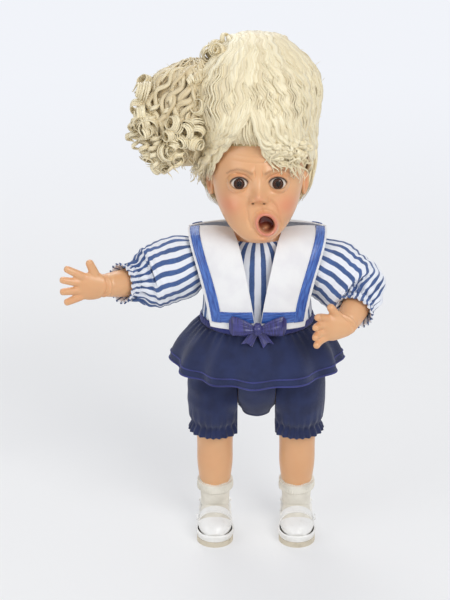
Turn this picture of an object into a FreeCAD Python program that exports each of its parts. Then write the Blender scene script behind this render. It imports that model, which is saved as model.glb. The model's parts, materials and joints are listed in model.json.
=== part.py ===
import FreeCAD, Part
import Sketcher
import math
import os

# Jointed vinyl doll in a sailor dress.
# Millimetres. +Z is up, the doll faces -Y, and +X is its left hand side. The soles stand on Z = 0.
# Every piece is drawn in the figure's own frame, whose Z axis runs up the middle of the torso, and its
# Placement then moves it by the stance offsets, so that the origin lies under the middle of the figure.

Vector = FreeCAD.Vector
DRAWN_AT = Vector(0, 0, 0)

doc = FreeCAD.newDocument("VinylDoll")
sheet = doc.addObject("Spreadsheet::Sheet", "Sizes")

SIZES = (
    ("stance_offset_x", 26.6, "sideways, from the torso's axis to the origin"),
    ("stance_offset_y", -4.4, "backwards, from the torso's axis to the origin"),
    ("vinyl_wall", 2.2, "wall of the moulded head, torso and limbs"),
    ("running_gap", 0.05, "radial and end play of each push-in joint"),
    ("soft_gap", 0.3, "space left between cloth, hair and what they cover"),
    ("cloth", 1.0, "thickness of one layer of dress cloth"),
    ("overrun", 2.0, "how far a cutting tool reaches past the surface that it cuts"),
    ("flange_thick", 1.6, "thickness of the flange that holds a limb in the torso"),
    ("flange_lip", 1.8, "how far a flange stands out round its shaft"),
    ("head_tall", 109.0, "chin to crown"),
    ("head_wide", 78.0, "across the temples"),
    ("head_deep", 90.0, "forehead to back of the head"),
    ("head_seat", 277.6, "height of the point that the head is drawn from"),
    ("head_forward", 3.0, "how far the head's own frame stands in front of the torso's axis"),
    ("neck_seat", 275.0, "height of the flat top of the torso, under the neck"),
    ("neck_radius", 15.5, "neck above the torso"),
    ("neck_shaft", 12.5, "neck where it passes through the torso's wall"),
    ("neck_reach", 22.0, "how far the neck runs up into the head"),
    ("nose_out", 9.0, "how far the nose stands out of the face"),
    ("nose_height", 35.0, "nose tip above the head's frame"),
    ("eye_spread", 15.4, "each pupil from the middle of the face"),
    ("eye_height", 46.0, "pupils above the head's frame"),
    ("eye_radius", 8.4, "radius of an inset eye"),
    ("eye_depth", 31.4, "centre of an eye in front of the head's frame"),
    ("iris_radius", 4.5, "coloured disc of an eye"),
    ("iris_thick", 0.7, "thickness of that disc"),
    ("lid_wide", 8.1, "half width of the opening between the eyelids"),
    ("lid_high", 5.1, "half height of the opening between the eyelids"),
    ("mouth_side", 6.0, "how far the mouth is drawn to the doll's left"),
    ("mouth_height", 13.5, "middle of the mouth above the head's frame"),
    ("mouth_wide", 6.4, "half width of the open mouth"),
    ("mouth_tall", 7.0, "half height of the open mouth"),
    ("mouth_depth", 13.0, "depth of the moulded mouth"),
    ("lip_radius", 2.7, "roundness of the lips"),
    ("ear_tall", 10.5, "half height of an ear"),
    ("ear_deep", 6.6, "half depth of an ear"),
    ("ear_thick", 3.6, "half thickness of an ear"),
    ("ear_height", 40.0, "middle of an ear above the head's frame"),
    ("ear_back", 4.0, "middle of an ear behind the head's frame"),
    ("cap_thick", 1.2, "net cap that the hair is sewn to"),
    ("cap_edge", 80.0, "height of the hairline over the forehead"),
    ("hair_rise", 46.0, "how far the piled hair rises above the crown"),
    ("hair_left_reach", 62.0, "how far the hair stands out on the doll's left"),
    ("hair_right_reach", 108.0, "how far the ringlets stand out on the doll's right"),
    ("hair_back_reach", 62.0, "how far the hair stands out behind"),
    ("curl_radius", 8.5, "radius of a ringlet"),
    ("fringe_thick", 6.0, "thickness of the locks over the forehead"),
    ("crotch_height", 114.0, "lowest point of the torso"),
    ("torso_half_wide", 46.0, "half width at the tummy"),
    ("torso_half_deep", 36.0, "depth of the tummy in front of the torso's axis"),
    ("hip_height", 138.0, "height of the hip joints"),
    ("hip_seat", 14.5, "flat seat of a leg, from the torso's axis"),
    ("hip_shaft", 8.0, "leg where it passes through the torso's wall"),
    ("thigh_radius", 18.6, "top of the thigh"),
    ("thigh_centre", 35.2, "middle of the thigh from the torso's axis"),
    ("ankle_height", 31.0, "narrowest point above the foot"),
    ("foot_length", 50.0, "heel to toe"),
    ("foot_half_wide", 12.0, "half width across the toes"),
    ("foot_heel", 15.0, "heel behind the ankle's axis"),
    ("shoulder_height", 251.0, "height of the shoulder joints"),
    ("shoulder_seat", 36.0, "flat seat of an arm, from the torso's axis"),
    ("shoulder_shaft", 7.0, "arm where it passes through the torso's wall"),
    ("arm_radius", 13.0, "top of the arm"),
    ("upper_arm", 50.0, "shoulder to elbow"),
    ("forearm", 42.0, "elbow to wrist"),
    ("palm", 19.0, "wrist to the roots of the fingers"),
    ("palm_half_wide", 12.0, "half width of the palm"),
    ("palm_half_thick", 6.2, "half thickness of the palm"),
    ("finger_length", 17.0, "root to tip of the middle finger"),
    ("finger_radius", 3.5, "radius of a finger at its root"),
    ("sleeve_radius", 25.0, "fullest part of a sleeve"),
    ("sleeve_root", 17.0, "sleeve where it is gathered into the armhole"),
    ("cuff_radius", 14.0, "outside of the elastic cuff"),
    ("cuff_wide", 7.0, "width of the elastic cuff along the arm"),
    ("neck_drop", 3.0, "drop from the top of the torso to the neck edge of the dress"),
    ("waist_height", 198.0, "seam between bodice and skirt"),
    ("waistband_wide", 5.0, "height of the piped band on that seam"),
    ("skirt_hem", 161.0, "height of the hem"),
    ("skirt_flare_x", 70.0, "half width of the hem"),
    ("skirt_flare_y", 60.0, "half depth of the hem"),
    ("skirt_fold", 3.4, "depth of the folds at the hem"),
    ("collar_half_wide", 57.0, "outer edge of the collar on the shoulder"),
    ("collar_rise", 2.4, "how far the collar lies above the neck seat"),
    ("collar_drop", 70.0, "from the neck seat down to the bottom edge of the collar"),
    ("collar_lift", 2.2, "from the torso's surface out to the collar"),
    ("collar_thick", 1.2, "two layers of cloth"),
    ("ribbon_wide", 8.5, "satin ribbon on the collar"),
    ("ribbon_thick", 0.5, "satin ribbon on the collar"),
    ("bow_half_wide", 23.5, "half width of the bow"),
    ("bow_half_high", 8.0, "half height of a bow loop"),
    ("bow_thick", 3.6, "half thickness of a bow loop"),
    ("knot_half_wide", 4.2, "half width of the knot of the bow"),
    ("tail_length", 14.0, "length of a bow tail"),
    ("bloomer_hem", 98.0, "height of the elastic at the bottom of a bloomer leg"),
    ("bloomer_puff", 22.5, "fullest part of a bloomer leg"),
    ("sock_top", 46.0, "height of the turned-down top of the sock"),
    ("sock_thick", 1.3, "thickness of the sock"),
    ("sole_thick", 4.6, "thickness of the shoe's sole"),
    ("sole_length", 61.0, "length of the shoe's sole"),
    ("sole_toe", 15.5, "radius of the sole round the toes"),
    ("sole_heel", 12.5, "radius of the sole round the heel"),
    ("shoe_wall", 1.8, "wall of the shoe"),
    ("shoe_top", 24.0, "height of the shoe at the heel"),
    ("strap_wide", 6.0, "strap over the instep"),
    ("strap_thick", 1.3, "strap over the instep"),
    ("button_radius", 2.6, "button on the strap, and snap on the dress"),
    ("button_thick", 1.4, "thickness of a button"),
    ("snap_spacing", 20.0, "between the snaps down the back"),
)

for row, (alias, number, note) in enumerate(SIZES, start=1):
    sheet.set(f"A{row}", note)
    sheet.set(f"B{row}", str(number))
    sheet.setAlias(f"B{row}", alias)
doc.recompute()

HEAD_PITCH = -10.0
CROOK_SHARE = 0.82
FLAT = 1e-6
PIECES = []


def mm(alias):
    """The size in the cell of that name."""
    return float(getattr(sheet, alias))


STANCE = FreeCAD.Placement(Vector(mm("stance_offset_x"), mm("stance_offset_y"), 0), FreeCAD.Rotation())
HEAD = FreeCAD.Placement(
    Vector(0, -mm("head_forward"), mm("head_seat")), FreeCAD.Rotation(Vector(1, 0, 0), HEAD_PITCH)
)


def keep(piece, label, place=None):
    """Register a finished sub-part under its node name and stand it in the part's frame."""
    piece.Label = label
    piece.Placement = STANCE.multiply(place) if place else STANCE
    PIECES.append(piece)
    return piece


def keep_shape(label, shape, place=None):
    """A sub-part whose form only surfaces in code can give."""
    piece = doc.addObject("Part::Feature", label)
    piece.Shape = shape
    return keep(piece, label, place)


# Forms: closed skins, ovals, limbs and sheets


def around(rings):
    """Smooth closed band whose control points are rings of points."""
    count = len(rings[0])
    rows = len(rings)
    poles = [[ring[i] for ring in rings] for i in range(count)]
    surface = Part.BSplineSurface()
    surface.buildFromPolesMultsKnots(
        poles,
        [1] * (count + 1),
        [4] + [1] * (rows - 4) + [4],
        [float(i) for i in range(count + 1)],
        [float(i) for i in range(rows - 2)],
        True,
        False,
        3,
        3,
    )
    return surface.toShape()


def sewn(faces):
    """Closed solid from faces that meet edge to edge."""
    shell = Part.Shell(faces)
    shell.sewShape()
    solid = Part.Solid(shell)
    if solid.Volume < 0:
        solid.reverse()
    return solid


def skin(rings):
    """Closed solid: one smooth band through rings of points, with flat ends."""
    side = around(rings)
    ends = [Part.Face(Part.Wire([edge])) for edge in side.Edges if edge.isClosed()]
    return sewn([side] + ends)


def sleeve(outer, inner):
    """Open tube between two sets of rings that share the planes of their first and last ring."""
    sides = [around(outer), around(inner)]
    ends = []
    for edge in sides[0].Edges:
        if edge.isClosed():
            middle = edge.CenterOfMass
            loops = [loop for loop in sides[1].Edges if loop.isClosed()]
            loops.sort(key=lambda loop: (loop.CenterOfMass - middle).Length)
            wires = [Part.Wire([edge]), Part.Wire([loops[0]])]
            ends.append(Part.makeFace(wires, "Part::FaceMakerBullseye"))
    return sewn(sides + ends)


def oval(centre, right, left, front, back, count=9, wave=0.0, waves=0, turn=0.0):
    """Level ring of control points with its own reach on each of four sides, and folds if asked."""
    swell = 3.0 / (2.0 + math.cos(2 * math.pi / count))
    ring = []
    for i in range(count):
        angle = 2 * math.pi * i / count
        across = math.cos(angle)
        along = math.sin(angle)
        fold = wave * math.cos(waves * angle + turn)
        wide = (right if across > 0 else left) * swell + fold
        deep = (back if along > 0 else front) * swell + fold
        ring.append(centre + Vector(wide * across, deep * along, 0))
    return ring


def tangents(points):
    """Direction of travel at each point of a path."""
    last = len(points) - 1
    found = []
    for i in range(len(points)):
        step = points[min(i + 1, last)] - points[max(i - 1, 0)]
        found.append(step.normalize())
    return found


def crook(points, ways, index):
    """Direction to the inside of the bend at a point of a path, and the radius of the bend."""
    before = max(index - 1, 0)
    after = min(index + 1, len(points) - 1)
    change = ways[after] - ways[before]
    run = (points[index] - points[before]).Length + (points[after] - points[index]).Length
    if change.Length < FLAT:
        return None, 0
    radius = run / change.Length
    return change.normalize(), radius


def limb_rings(points, wide, thick, side, count=8, wave=0.0, waves=0, grow=0.0, first=None):
    """Rings along a path: each square to the path, wide along side and thick across it.

    On the inside of a bend a ring stays within the bend's own radius, as cloth and flesh do. grow then
    moves the whole skin out or, below zero, in. first is the direction that the first ring is square to.
    """
    swell = 3.0 / (2.0 + math.cos(2 * math.pi / count))
    rings = []
    ways = tangents(points)
    ways[0] = first or ways[0]
    for index, (centre, way, half_wide, half_thick) in enumerate(zip(points, ways, wide, thick)):
        over = way.cross(side).normalize()
        beside = over.cross(way).normalize()
        inside, bend = crook(points, ways, index)
        ring = []
        for i in range(count):
            angle = 2 * math.pi * i / count
            fold = wave * math.cos(waves * angle)
            arm = beside * ((half_wide * swell + fold) * math.cos(angle))
            arm += over * ((half_thick * swell + fold) * math.sin(angle))
            inwards = arm.dot(inside) if inside else 0
            if inwards > CROOK_SHARE * bend:
                arm = arm * (CROOK_SHARE * bend / inwards)
            ring.append(centre + arm * (1 + grow / arm.Length))
        rings.append(ring)
    return rings


def limb(points, wide, thick, side, count=8, first=None):
    """Closed solid along a path, wide along side and thick across it."""
    return skin(limb_rings(points, wide, thick, side, count, first=first))


TIP_REACH_SHARES = (0.0, 0.62, 0.96, 1.0)
TIP_RADIUS_SHARES = (1.0, 0.96, 0.62, 0.16)


def round_tip(points, radii):
    """Lengthen a path by a domed end, and give its radii."""
    way = (points[-1] - points[-2]).normalize()
    tip = radii[-1]
    ends = [points[-1] + way * (tip * reach) for reach in TIP_REACH_SHARES[1:]]
    return points + ends, radii + [tip * share for share in TIP_RADIUS_SHARES[1:]]


def spread(stations, number):
    """Places along a chain of points, evenly spaced, rounded off at the corners."""
    runs = [(b - a).Length for a, b in zip(stations, stations[1:])]
    total = sum(runs)
    places = []
    for i in range(number):
        goal = total * i / (number - 1)
        for run, start, end in zip(runs, stations, stations[1:]):
            if goal <= run or end is stations[-1]:
                places.append(start + (end - start) * min(goal / run, 1))
                break
            goal -= run
    soft = [places[0]]
    for before, here, after in zip(places, places[1:], places[2:]):
        soft.append((before + here * 2 + after) * 0.25)
    return soft + [places[-1]]


def spline_surface(grid):
    """Smooth surface whose control points are a grid of points."""
    rows = len(grid)
    columns = len(grid[0])
    degrees = [min(3, rows - 1), min(3, columns - 1)]
    knots = []
    counts = []
    for number, degree in zip((rows, columns), degrees):
        inner = number - degree - 1
        knots.append([float(i) for i in range(inner + 2)])
        counts.append([degree + 1] + [1] * inner + [degree + 1])
    surface = Part.BSplineSurface()
    surface.buildFromPolesMultsKnots(
        grid, counts[0], counts[1], knots[0], knots[1], False, False, degrees[0], degrees[1]
    )
    return surface


def sheet_between(over, under):
    """Closed solid between two grids of control points, with narrow faces round its edge."""
    top = spline_surface(over)
    low = spline_surface(under)
    faces = [top.toShape(), low.toShape()]
    for index in (0, -1):
        for pick in (lambda grid: grid[index], lambda grid: [row[index] for row in grid]):
            faces.append(spline_surface([pick(over), pick(under)]).toShape())
    return sewn(faces)


def panel(surface, across, down, lift, thick, columns=4, rows=5):
    """Strip of cloth on a surface between two shares each way, lifted off it and of one thickness."""
    over = []
    under = []
    for j in range(rows):
        v = down[0] + (down[1] - down[0]) * j / (rows - 1)
        row = [across[0] + (across[1] - across[0]) * i / (columns - 1) for i in range(columns)]
        over.append([surface.value(u, v) + surface.normal(u, v) * (lift + thick) for u in row])
        under.append([surface.value(u, v) + surface.normal(u, v) * lift for u in row])
    return sheet_between(over, under)


def mirrored(shape):
    """The same piece for the other side of the body."""
    return shape.mirror(DRAWN_AT, Vector(1, 0, 0))


def rod(radius, start, reach, way):
    """Round bar from a point along a direction."""
    return Part.makeCylinder(radius, reach, start, way)


def block(x, y, z):
    """Box between two values on each axis."""
    return Part.makeBox(x[1] - x[0], y[1] - y[0], z[1] - z[0], Vector(x[0], y[0], z[0]))


def ball(centre, wide, deep, high):
    """Ellipsoid with its own half size on each axis."""
    stretch = FreeCAD.Matrix()
    stretch.scale(wide / high, deep / high, 1)
    stretch.move(centre)
    return Part.makeSphere(high).transformGeometry(stretch)


# Push-in joints: a shaft through the wall and a flange behind it


def plug(seat, way, shaft):
    """Shaft and flange that hold a limb in the torso. way points into the torso."""
    wall = mm("vinyl_wall") + 2 * mm("running_gap")
    stem = rod(shaft, seat - way * mm("overrun"), mm("overrun") + wall, way)
    flange = rod(shaft + mm("flange_lip"), seat + way * wall, mm("flange_thick"), way)
    return stem.fuse(flange)


# Head: the face and skull are one moulding, drawn level by level


LEVEL_SHARES = (
    0.0, 0.030, 0.075, 0.130, 0.175, 0.220, 0.265, 0.310, 0.350, 0.390, 0.440, 0.500, 0.590, 0.700,
    0.810, 0.900, 0.965, 1.0,
)
HEAD_PROFILE_SHARES = (
    (0.0, 0.205, 0.378, -0.250),
    (0.028, 0.372, 0.415, -0.133),
    (0.064, 0.500, 0.433, -0.011),
    (0.101, 0.603, 0.439, 0.100),
    (0.138, 0.680, 0.442, 0.189),
    (0.183, 0.756, 0.444, 0.267),
    (0.229, 0.820, 0.444, 0.328),
    (0.339, 0.915, 0.444, 0.422),
    (0.450, 0.965, 0.444, 0.478),
    (0.560, 0.995, 0.458, 0.511),
    (0.670, 1.000, 0.464, 0.517),
    (0.780, 0.935, 0.432, 0.483),
    (0.872, 0.795, 0.360, 0.406),
    (0.936, 0.603, 0.267, 0.311),
    (0.982, 0.346, 0.144, 0.183),
    (1.0, 0.103, 0.033, 0.067),
)
HEAD_COLUMNS = 22
CHIN = -3.0 / 109.0
FRONT_CROWDING = 0.5


def head_level(share):
    """Half width, front and back of the bare head at a share of its height."""
    for low, high in zip(HEAD_PROFILE_SHARES, HEAD_PROFILE_SHARES[1:]):
        if share <= high[0]:
            part = (share - low[0]) / (high[0] - low[0])
            wide, front, back = (a + (b - a) * part for a, b in zip(low[1:], high[1:]))
            break
    return wide * mm("head_wide") / 2, front * mm("head_deep"), back * mm("head_deep")


def hill(x, z, side, height, wide, tall):
    """Bump of the face: one at its middle, falling away like a bell."""
    return math.exp(-(((x - side) / wide) ** 2) - ((z - height) / tall) ** 2)


def face_relief(x, z):
    """How far the face stands out of the plain head: nose, cheeks, brows, chin and eye hollows."""
    unit = mm("head_tall") / 109.0
    nose = mm("nose_out")
    tip = mm("nose_height")
    eye = mm("eye_height")
    side = mm("eye_spread")
    mouth = mm("mouth_height")
    pull = mm("mouth_side")
    out = nose * 0.95 * hill(x, z, 0, tip, 5.2 * unit, 5.0 * unit)
    out += nose * 0.42 * hill(x, z, 0, (tip + eye) / 2 + 2.5 * unit, 4.6 * unit, 9.0 * unit)
    for way in (-1, 1):
        out += nose * 0.40 * hill(x, z, way * 6.0 * unit, tip - 2.5 * unit, 3.2 * unit, 3.4 * unit)
        out += 2.6 * unit * hill(x, z, way * 24 * unit, (tip + mouth) / 2, 10 * unit, 12 * unit)
        out += 1.6 * unit * hill(x, z, way * side, eye + 10.5 * unit, 9 * unit, 4 * unit)
        out -= 2.6 * unit * hill(x, z, way * side, eye, 9.5 * unit, 6.5 * unit)
    out += 3.0 * unit * hill(x, z, pull * 0.6, mouth - 12 * unit, 9 * unit, 6 * unit)
    out += 3.2 * unit * hill(x, z, pull, mouth, 13 * unit, 11 * unit)
    return out


def head_ring(share, grow):
    """Level ring of the head. grow moves it out or, below zero, in, and leaves out the face's relief."""
    wide, front, back = head_level(share)
    height = mm("head_tall") * (share + CHIN)
    middle = (back - front) / 2
    half = (back + front) / 2
    ring = []
    for i in range(HEAD_COLUMNS):
        turn = 2 * math.pi * i / HEAD_COLUMNS - math.pi
        angle = turn - FRONT_CROWDING * math.sin(turn)
        x = (wide + grow) * math.sin(angle)
        y = middle - (half + grow) * math.cos(angle)
        if math.cos(angle) > 0 and not grow:
            y -= face_relief(x, height) * min(1.0, 1.6 * math.cos(angle))
        ring.append(Vector(x, y, height))
    return ring


def head_skin(grow, shares=LEVEL_SHARES):
    """Closed solid of the head, grown by that much."""
    return skin([head_ring(share, grow) for share in shares])


def face_front(x, height):
    """How far in front of the head's frame the moulded face lies, at a place on it."""
    wide, front, back = head_level(height / mm("head_tall") - CHIN)
    middle = (back - front) / 2
    half = (back + front) / 2
    return half * math.sqrt(max(0, 1 - (x / wide) ** 2)) - middle + face_relief(x, height)


INNER_LEVEL_SHARES = (0.040, 0.090, 0.160, 0.260, 0.400, 0.560, 0.720, 0.850, 0.930, 0.970)


def eye_centre(way):
    """Centre of an inset eye, in the head's frame."""
    return Vector(way * mm("eye_spread"), -mm("eye_depth"), mm("eye_height"))


def lid_opening(way):
    """Almond bar that cuts the eyelids: two round bars that meet at the corners of the eye."""
    wide = mm("lid_wide")
    high = mm("lid_high")
    radius = (wide * wide + high * high) / (2 * high)
    eye = eye_centre(way)
    bars = []
    for up in (-1, 1):
        start = Vector(eye.x, eye.y, eye.z + up * (high - radius))
        bars.append(rod(radius, start, mm("eye_radius") + mm("eye_radius"), Vector(0, -1, 0)))
    return bars[0].common(bars[1])


def build_head():
    """Hollow vinyl head with a moulded mouth, eye sockets, ears and the neck's push-in joint."""
    wall = mm("vinyl_wall")
    outer = head_skin(0)
    mouth = Vector(mm("mouth_side"), 0, mm("mouth_height"))
    mouth.y = -face_front(mouth.x, mouth.z)
    back = mouth + Vector(0, mm("mouth_depth") / 2, 0)
    half_deep = mm("mouth_depth")
    cup = ball(back, mm("mouth_wide") + wall, half_deep, mm("mouth_tall") + wall)
    recess = ball(back, mm("mouth_wide"), half_deep - wall, mm("mouth_tall"))
    lips = Part.makeTorus(mm("mouth_tall") + mm("lip_radius") / 3, mm("lip_radius"))
    lips.rotate(DRAWN_AT, Vector(1, 0, 0), 90)
    narrow = FreeCAD.Matrix()
    narrow.scale(mm("mouth_wide") / mm("mouth_tall"), 1, 1)
    narrow.move(mouth)
    lips = lips.transformGeometry(narrow)
    tongue = ball(
        back - Vector(0, 0, mm("mouth_tall") * 0.62), mm("mouth_wide") * 0.62, half_deep * 0.55,
        mm("mouth_tall") * 0.42,
    )

    room = mm("eye_radius") + mm("running_gap")
    sockets = [Part.makeSphere(room + wall, eye_centre(way)) for way in (-1, 1)]
    hollow = head_skin(-wall, INNER_LEVEL_SHARES).cut([cup] + sockets)
    head = outer.cut(hollow)
    head = head.fuse(lips)
    head = head.cut(recess)
    for way in (-1, 1):
        head = head.cut(Part.makeSphere(room, eye_centre(way)))
        head = head.cut(lid_opening(way))
    head = head.fuse(tongue)

    rim = head_level(mm("ear_height") / mm("head_tall") - CHIN)[0]
    for way in (-1, 1):
        ear_at = Vector(way * (rim + mm("ear_thick") * 0.4), mm("ear_back"), mm("ear_height"))
        ear = ball(ear_at, mm("ear_thick"), mm("ear_deep"), mm("ear_tall"))
        bowl = ball(
            ear_at + Vector(way * mm("ear_thick"), -mm("ear_deep") * 0.2, 0),
            mm("ear_thick") * 0.7, mm("ear_deep") * 0.55, mm("ear_tall") * 0.6,
        )
        head = head.fuse(ear.cut(bowl))

    for way in (-1, 1):
        nostril = Vector(way * 0.42 * mm("nose_out"), 0, mm("nose_height") - 0.5 * mm("nose_out"))
        nostril.y = -face_front(nostril.x, nostril.z) - mm("lip_radius") * 0.2
        size = mm("nose_out") * 0.17
        head = head.cut(ball(nostril, size, size * 1.4, size))

    return head.fuse(build_neck())


def build_neck():
    """Neck from inside the head down through the torso's wall, in the head's frame."""
    up = Vector(0, 0, 1)
    seat = Vector(0, 0, mm("neck_seat") + mm("running_gap"))
    collar = rod(mm("neck_radius"), seat, mm("neck_reach"), up)
    neck = collar.fuse(plug(seat, -up, mm("neck_shaft")))
    bore = rod(mm("neck_shaft") - mm("vinyl_wall"), seat - up * mm("neck_reach"), mm("neck_reach") * 2.5, up)
    neck = neck.cut(bore)
    neck.Placement = HEAD.inverse()
    return neck


head_solid = build_head()
up_neck = rod(
    mm("neck_shaft") - mm("vinyl_wall"), Vector(0, 0, mm("neck_seat")), mm("neck_reach"), Vector(0, 0, 1)
)
up_neck.Placement = HEAD.inverse()
keep_shape("head_shell", head_solid.cut(up_neck), HEAD)


# Eyes: white, coloured disc and clear dome, stacked along the line of sight


def primitive(kind, name, **formulas):
    """Part primitive whose properties are bound to formulas of the sheet."""
    piece = doc.addObject(kind, name)
    for member, formula in formulas.items():
        piece.setExpression(member, formula)
    return piece


for side, way in (("right", -1), ("left", 1)):
    sight = HEAD.multiply(FreeCAD.Placement(eye_centre(way), FreeCAD.Rotation(Vector(1, 0, 0), 90)))
    white = primitive(
        "Part::Sphere", f"{side}_eyeball", Radius="Sizes.eye_radius",
        Angle2="acos(Sizes.iris_radius / Sizes.eye_radius)",
    )
    keep(white, f"{side}_eyeball", sight)

    flat = math.sqrt(mm("eye_radius") ** 2 - mm("iris_radius") ** 2)
    disc = primitive(
        "Part::Cylinder", f"{side}_iris", Radius="Sizes.iris_radius - Sizes.running_gap",
        Height="Sizes.iris_thick",
    )
    keep(disc, f"{side}_iris", sight.multiply(FreeCAD.Placement(Vector(0, 0, flat), FreeCAD.Rotation())))

    dome = primitive(
        "Part::Sphere", f"{side}_cornea", Radius="Sizes.eye_radius",
        Angle1="asin((sqrt(Sizes.eye_radius * Sizes.eye_radius - Sizes.iris_radius * Sizes.iris_radius)"
               " + Sizes.iris_thick) / Sizes.eye_radius)",
    )
    keep(dome, f"{side}_cornea", sight)


# Hair: a net cap, the piled crown, ringlets, side sweep, back and fringe


CAP_EDGE_SHARES = (
    (-0.70, 1.00), (-0.26, 0.92), (-0.08, 0.68), (0.16, 0.67), (0.24, 0.24), (0.70, 0.12),
    (0.70, 1.60), (-0.70, 1.60),
)
CROWN_SHARES = (
    (0.97, 1.00, 1.08, 1.00, 1.06),
    (1.08, 1.14, 1.26, 1.16, 1.20),
    (1.26, 1.26, 1.42, 1.18, 1.28),
    (1.50, 1.30, 1.46, 1.08, 1.28),
    (1.72, 1.18, 1.32, 0.86, 1.16),
    (1.87, 0.84, 0.94, 0.52, 0.84),
    (1.93, 0.20, 0.24, 0.10, 0.22),
)
BACK_SHARES = (
    (0.13, 0.52, 0.20, 0.66), (0.24, 0.92, 0.08, 1.06), (0.42, 1.18, 0.00, 1.40), (0.70, 1.24, 0.00, 1.50),
    (0.95, 1.18, 0.00, 1.46), (1.10, 1.04, 0.00, 1.32),
)
CURL_MASS_SHARES = (
    (0.66, -0.58, 0.10, 0.10, 0.16, 0.16), (0.74, -0.60, 0.24, 0.26, 0.34, 0.34),
    (0.92, -0.62, 0.28, 0.34, 0.46, 0.46), (1.16, -0.60, 0.30, 0.38, 0.50, 0.48),
    (1.42, -0.56, 0.30, 0.38, 0.46, 0.44), (1.66, -0.52, 0.26, 0.30, 0.36, 0.34),
    (1.76, -0.50, 0.10, 0.12, 0.14, 0.14),
)
RINGLET_SHARES = (
    ((-0.76, -0.34, 1.00), (-0.90, -0.42, 0.84), (-0.80, -0.44, 0.62)),
    ((-0.80, 0.04, 1.00), (-1.00, 0.02, 0.82), (-0.90, 0.00, 0.58)),
    ((-0.74, 0.36, 0.98), (-0.86, 0.42, 0.78), (-0.76, 0.42, 0.54)),
    ((-0.76, -0.20, 1.40), (-0.98, -0.30, 1.34), (-1.00, -0.34, 1.12)),
)
SWEEP_SHARES = (
    ((0.36, -0.40, 1.04), (0.62, -0.24, 0.92), (0.66, 0.02, 0.74), (0.58, 0.16, 0.56)),
    ((0.40, -0.16, 1.04), (0.72, 0.04, 0.92), (0.74, 0.24, 0.70), (0.60, 0.36, 0.42)),
)
FRINGE_SHARES = (
    ((-0.08, 1.04), (0.00, 0.96), (0.06, 0.88), (0.16, 0.80)),
    ((0.10, 1.06), (0.22, 0.97), (0.26, 0.87), (0.18, 0.77)),
    ((0.30, 1.04), (0.44, 0.94), (0.46, 0.84), (0.38, 0.74)),
    ((0.46, 1.00), (0.64, 0.92), (0.70, 0.82), (0.62, 0.72)),
    ((-0.26, 1.04), (-0.42, 0.98), (-0.56, 0.88), (-0.60, 0.76)),
)


def build_cap():
    """Net cap over the skull, down to the hairline, behind the ears and to the nape."""
    gap = mm("soft_gap")
    cap = head_skin(gap + mm("cap_thick")).cut(head_skin(gap))
    rise = mm("cap_edge")
    edge = [
        Vector(-mm("head_wide"), y * mm("head_deep"), z * rise) for y, z in CAP_EDGE_SHARES
    ]
    mask = Part.Face(Part.makePolygon(edge + edge[:1])).extrude(Vector(2 * mm("head_wide"), 0, 0))
    return cap.common(mask)


def build_crown(grow=0.0):
    """Hair combed up off the face into a tall pile, in upright strands, grown by that much."""
    rise = (mm("head_tall") + mm("hair_rise")) / CROWN_SHARES[-1][0]
    half = mm("head_wide") / 2
    back = mm("hair_back_reach") / CROWN_SHARES[2][4]
    rings = [
        oval(
            Vector(0, 0, level * rise + grow * (2 * level / CROWN_SHARES[-1][0] - 1) / 2),
            right * half + grow, left * half + grow, front * mm("head_deep") / 2 + grow, deep * back + grow,
            count=24, wave=mm("curl_radius") * 0.22, waves=8,
        )
        for level, right, left, front, deep in CROWN_SHARES
    ]
    return skin(rings)


def build_back(grow=0.0):
    """Loose hair behind the head, from the crown to the nape, grown by that much."""
    half = mm("head_wide") / 2
    deep = mm("hair_back_reach") / BACK_SHARES[4][3]
    near = mm("ear_deep") - grow
    rings = [
        oval(
            Vector(0, mm("ear_back") * 2 + mm("ear_deep"), level * mm("cap_edge")), wide * half + grow,
            wide * half + grow, mm("cap_thick") + grow, back * deep - near, count=15,
            wave=mm("curl_radius") * 0.14, waves=5,
        )
        for level, wide, front, back in BACK_SHARES
    ]
    return skin(rings)


LOCK_SHARES = (0.84, 1.0, 1.06, 0.98, 0.80)


def lock(points, radius):
    """Tapered lock of hair along a path, with a rounded end."""
    path = spread(points, len(LOCK_SHARES))
    path, radii = round_tip(path, [radius * share for share in LOCK_SHARES])
    return limb(path, radii, radii, Vector(0, 1, 0), count=6)


def build_ringlets():
    """Loose mass of curls on the doll's right, with ringlets that hang from it."""
    reach = mm("hair_right_reach") - mm("curl_radius")
    deep = mm("hair_back_reach")
    rings = [
        oval(
            Vector(x * reach, 0, level * mm("cap_edge")), right * reach, left * reach, front * deep,
            back * deep, count=15, wave=mm("curl_radius") * 0.3, waves=5, turn=level * math.pi,
        )
        for level, x, right, left, front, back in CURL_MASS_SHARES
    ]
    curls = [skin(rings)]
    for row in RINGLET_SHARES:
        points = [Vector(x * reach, y * mm("hair_back_reach"), z * mm("cap_edge")) for x, y, z in row]
        curls.append(lock(points, mm("curl_radius")))
    return curls[0].fuse(curls[1:])


def build_sweep():
    """Hair swept back over the ear on the doll's left."""
    reach = mm("hair_left_reach")
    locks = []
    for row in SWEEP_SHARES:
        points = [Vector(x * reach, y * mm("hair_back_reach"), z * mm("cap_edge")) for x, y, z in row]
        locks.append(lock(points, mm("curl_radius") * 1.1))
    return locks[0].fuse(locks[1:])


def build_fringe():
    """Curly locks that fall over the forehead, most of them on the doll's left."""
    half = mm("head_wide") / 2
    thick = mm("fringe_thick") / 2
    locks = []
    for row in FRINGE_SHARES:
        points = []
        for x, z in row:
            side = x * half
            level = min(z * mm("cap_edge"), mm("cap_edge") * 1.06)
            out = face_front(side, level) + thick * 1.7 + mm("cap_thick")
            points.append(Vector(side, -out, level))
        locks.append(lock(points, thick))
    return locks[0].fuse(locks[1:])


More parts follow.
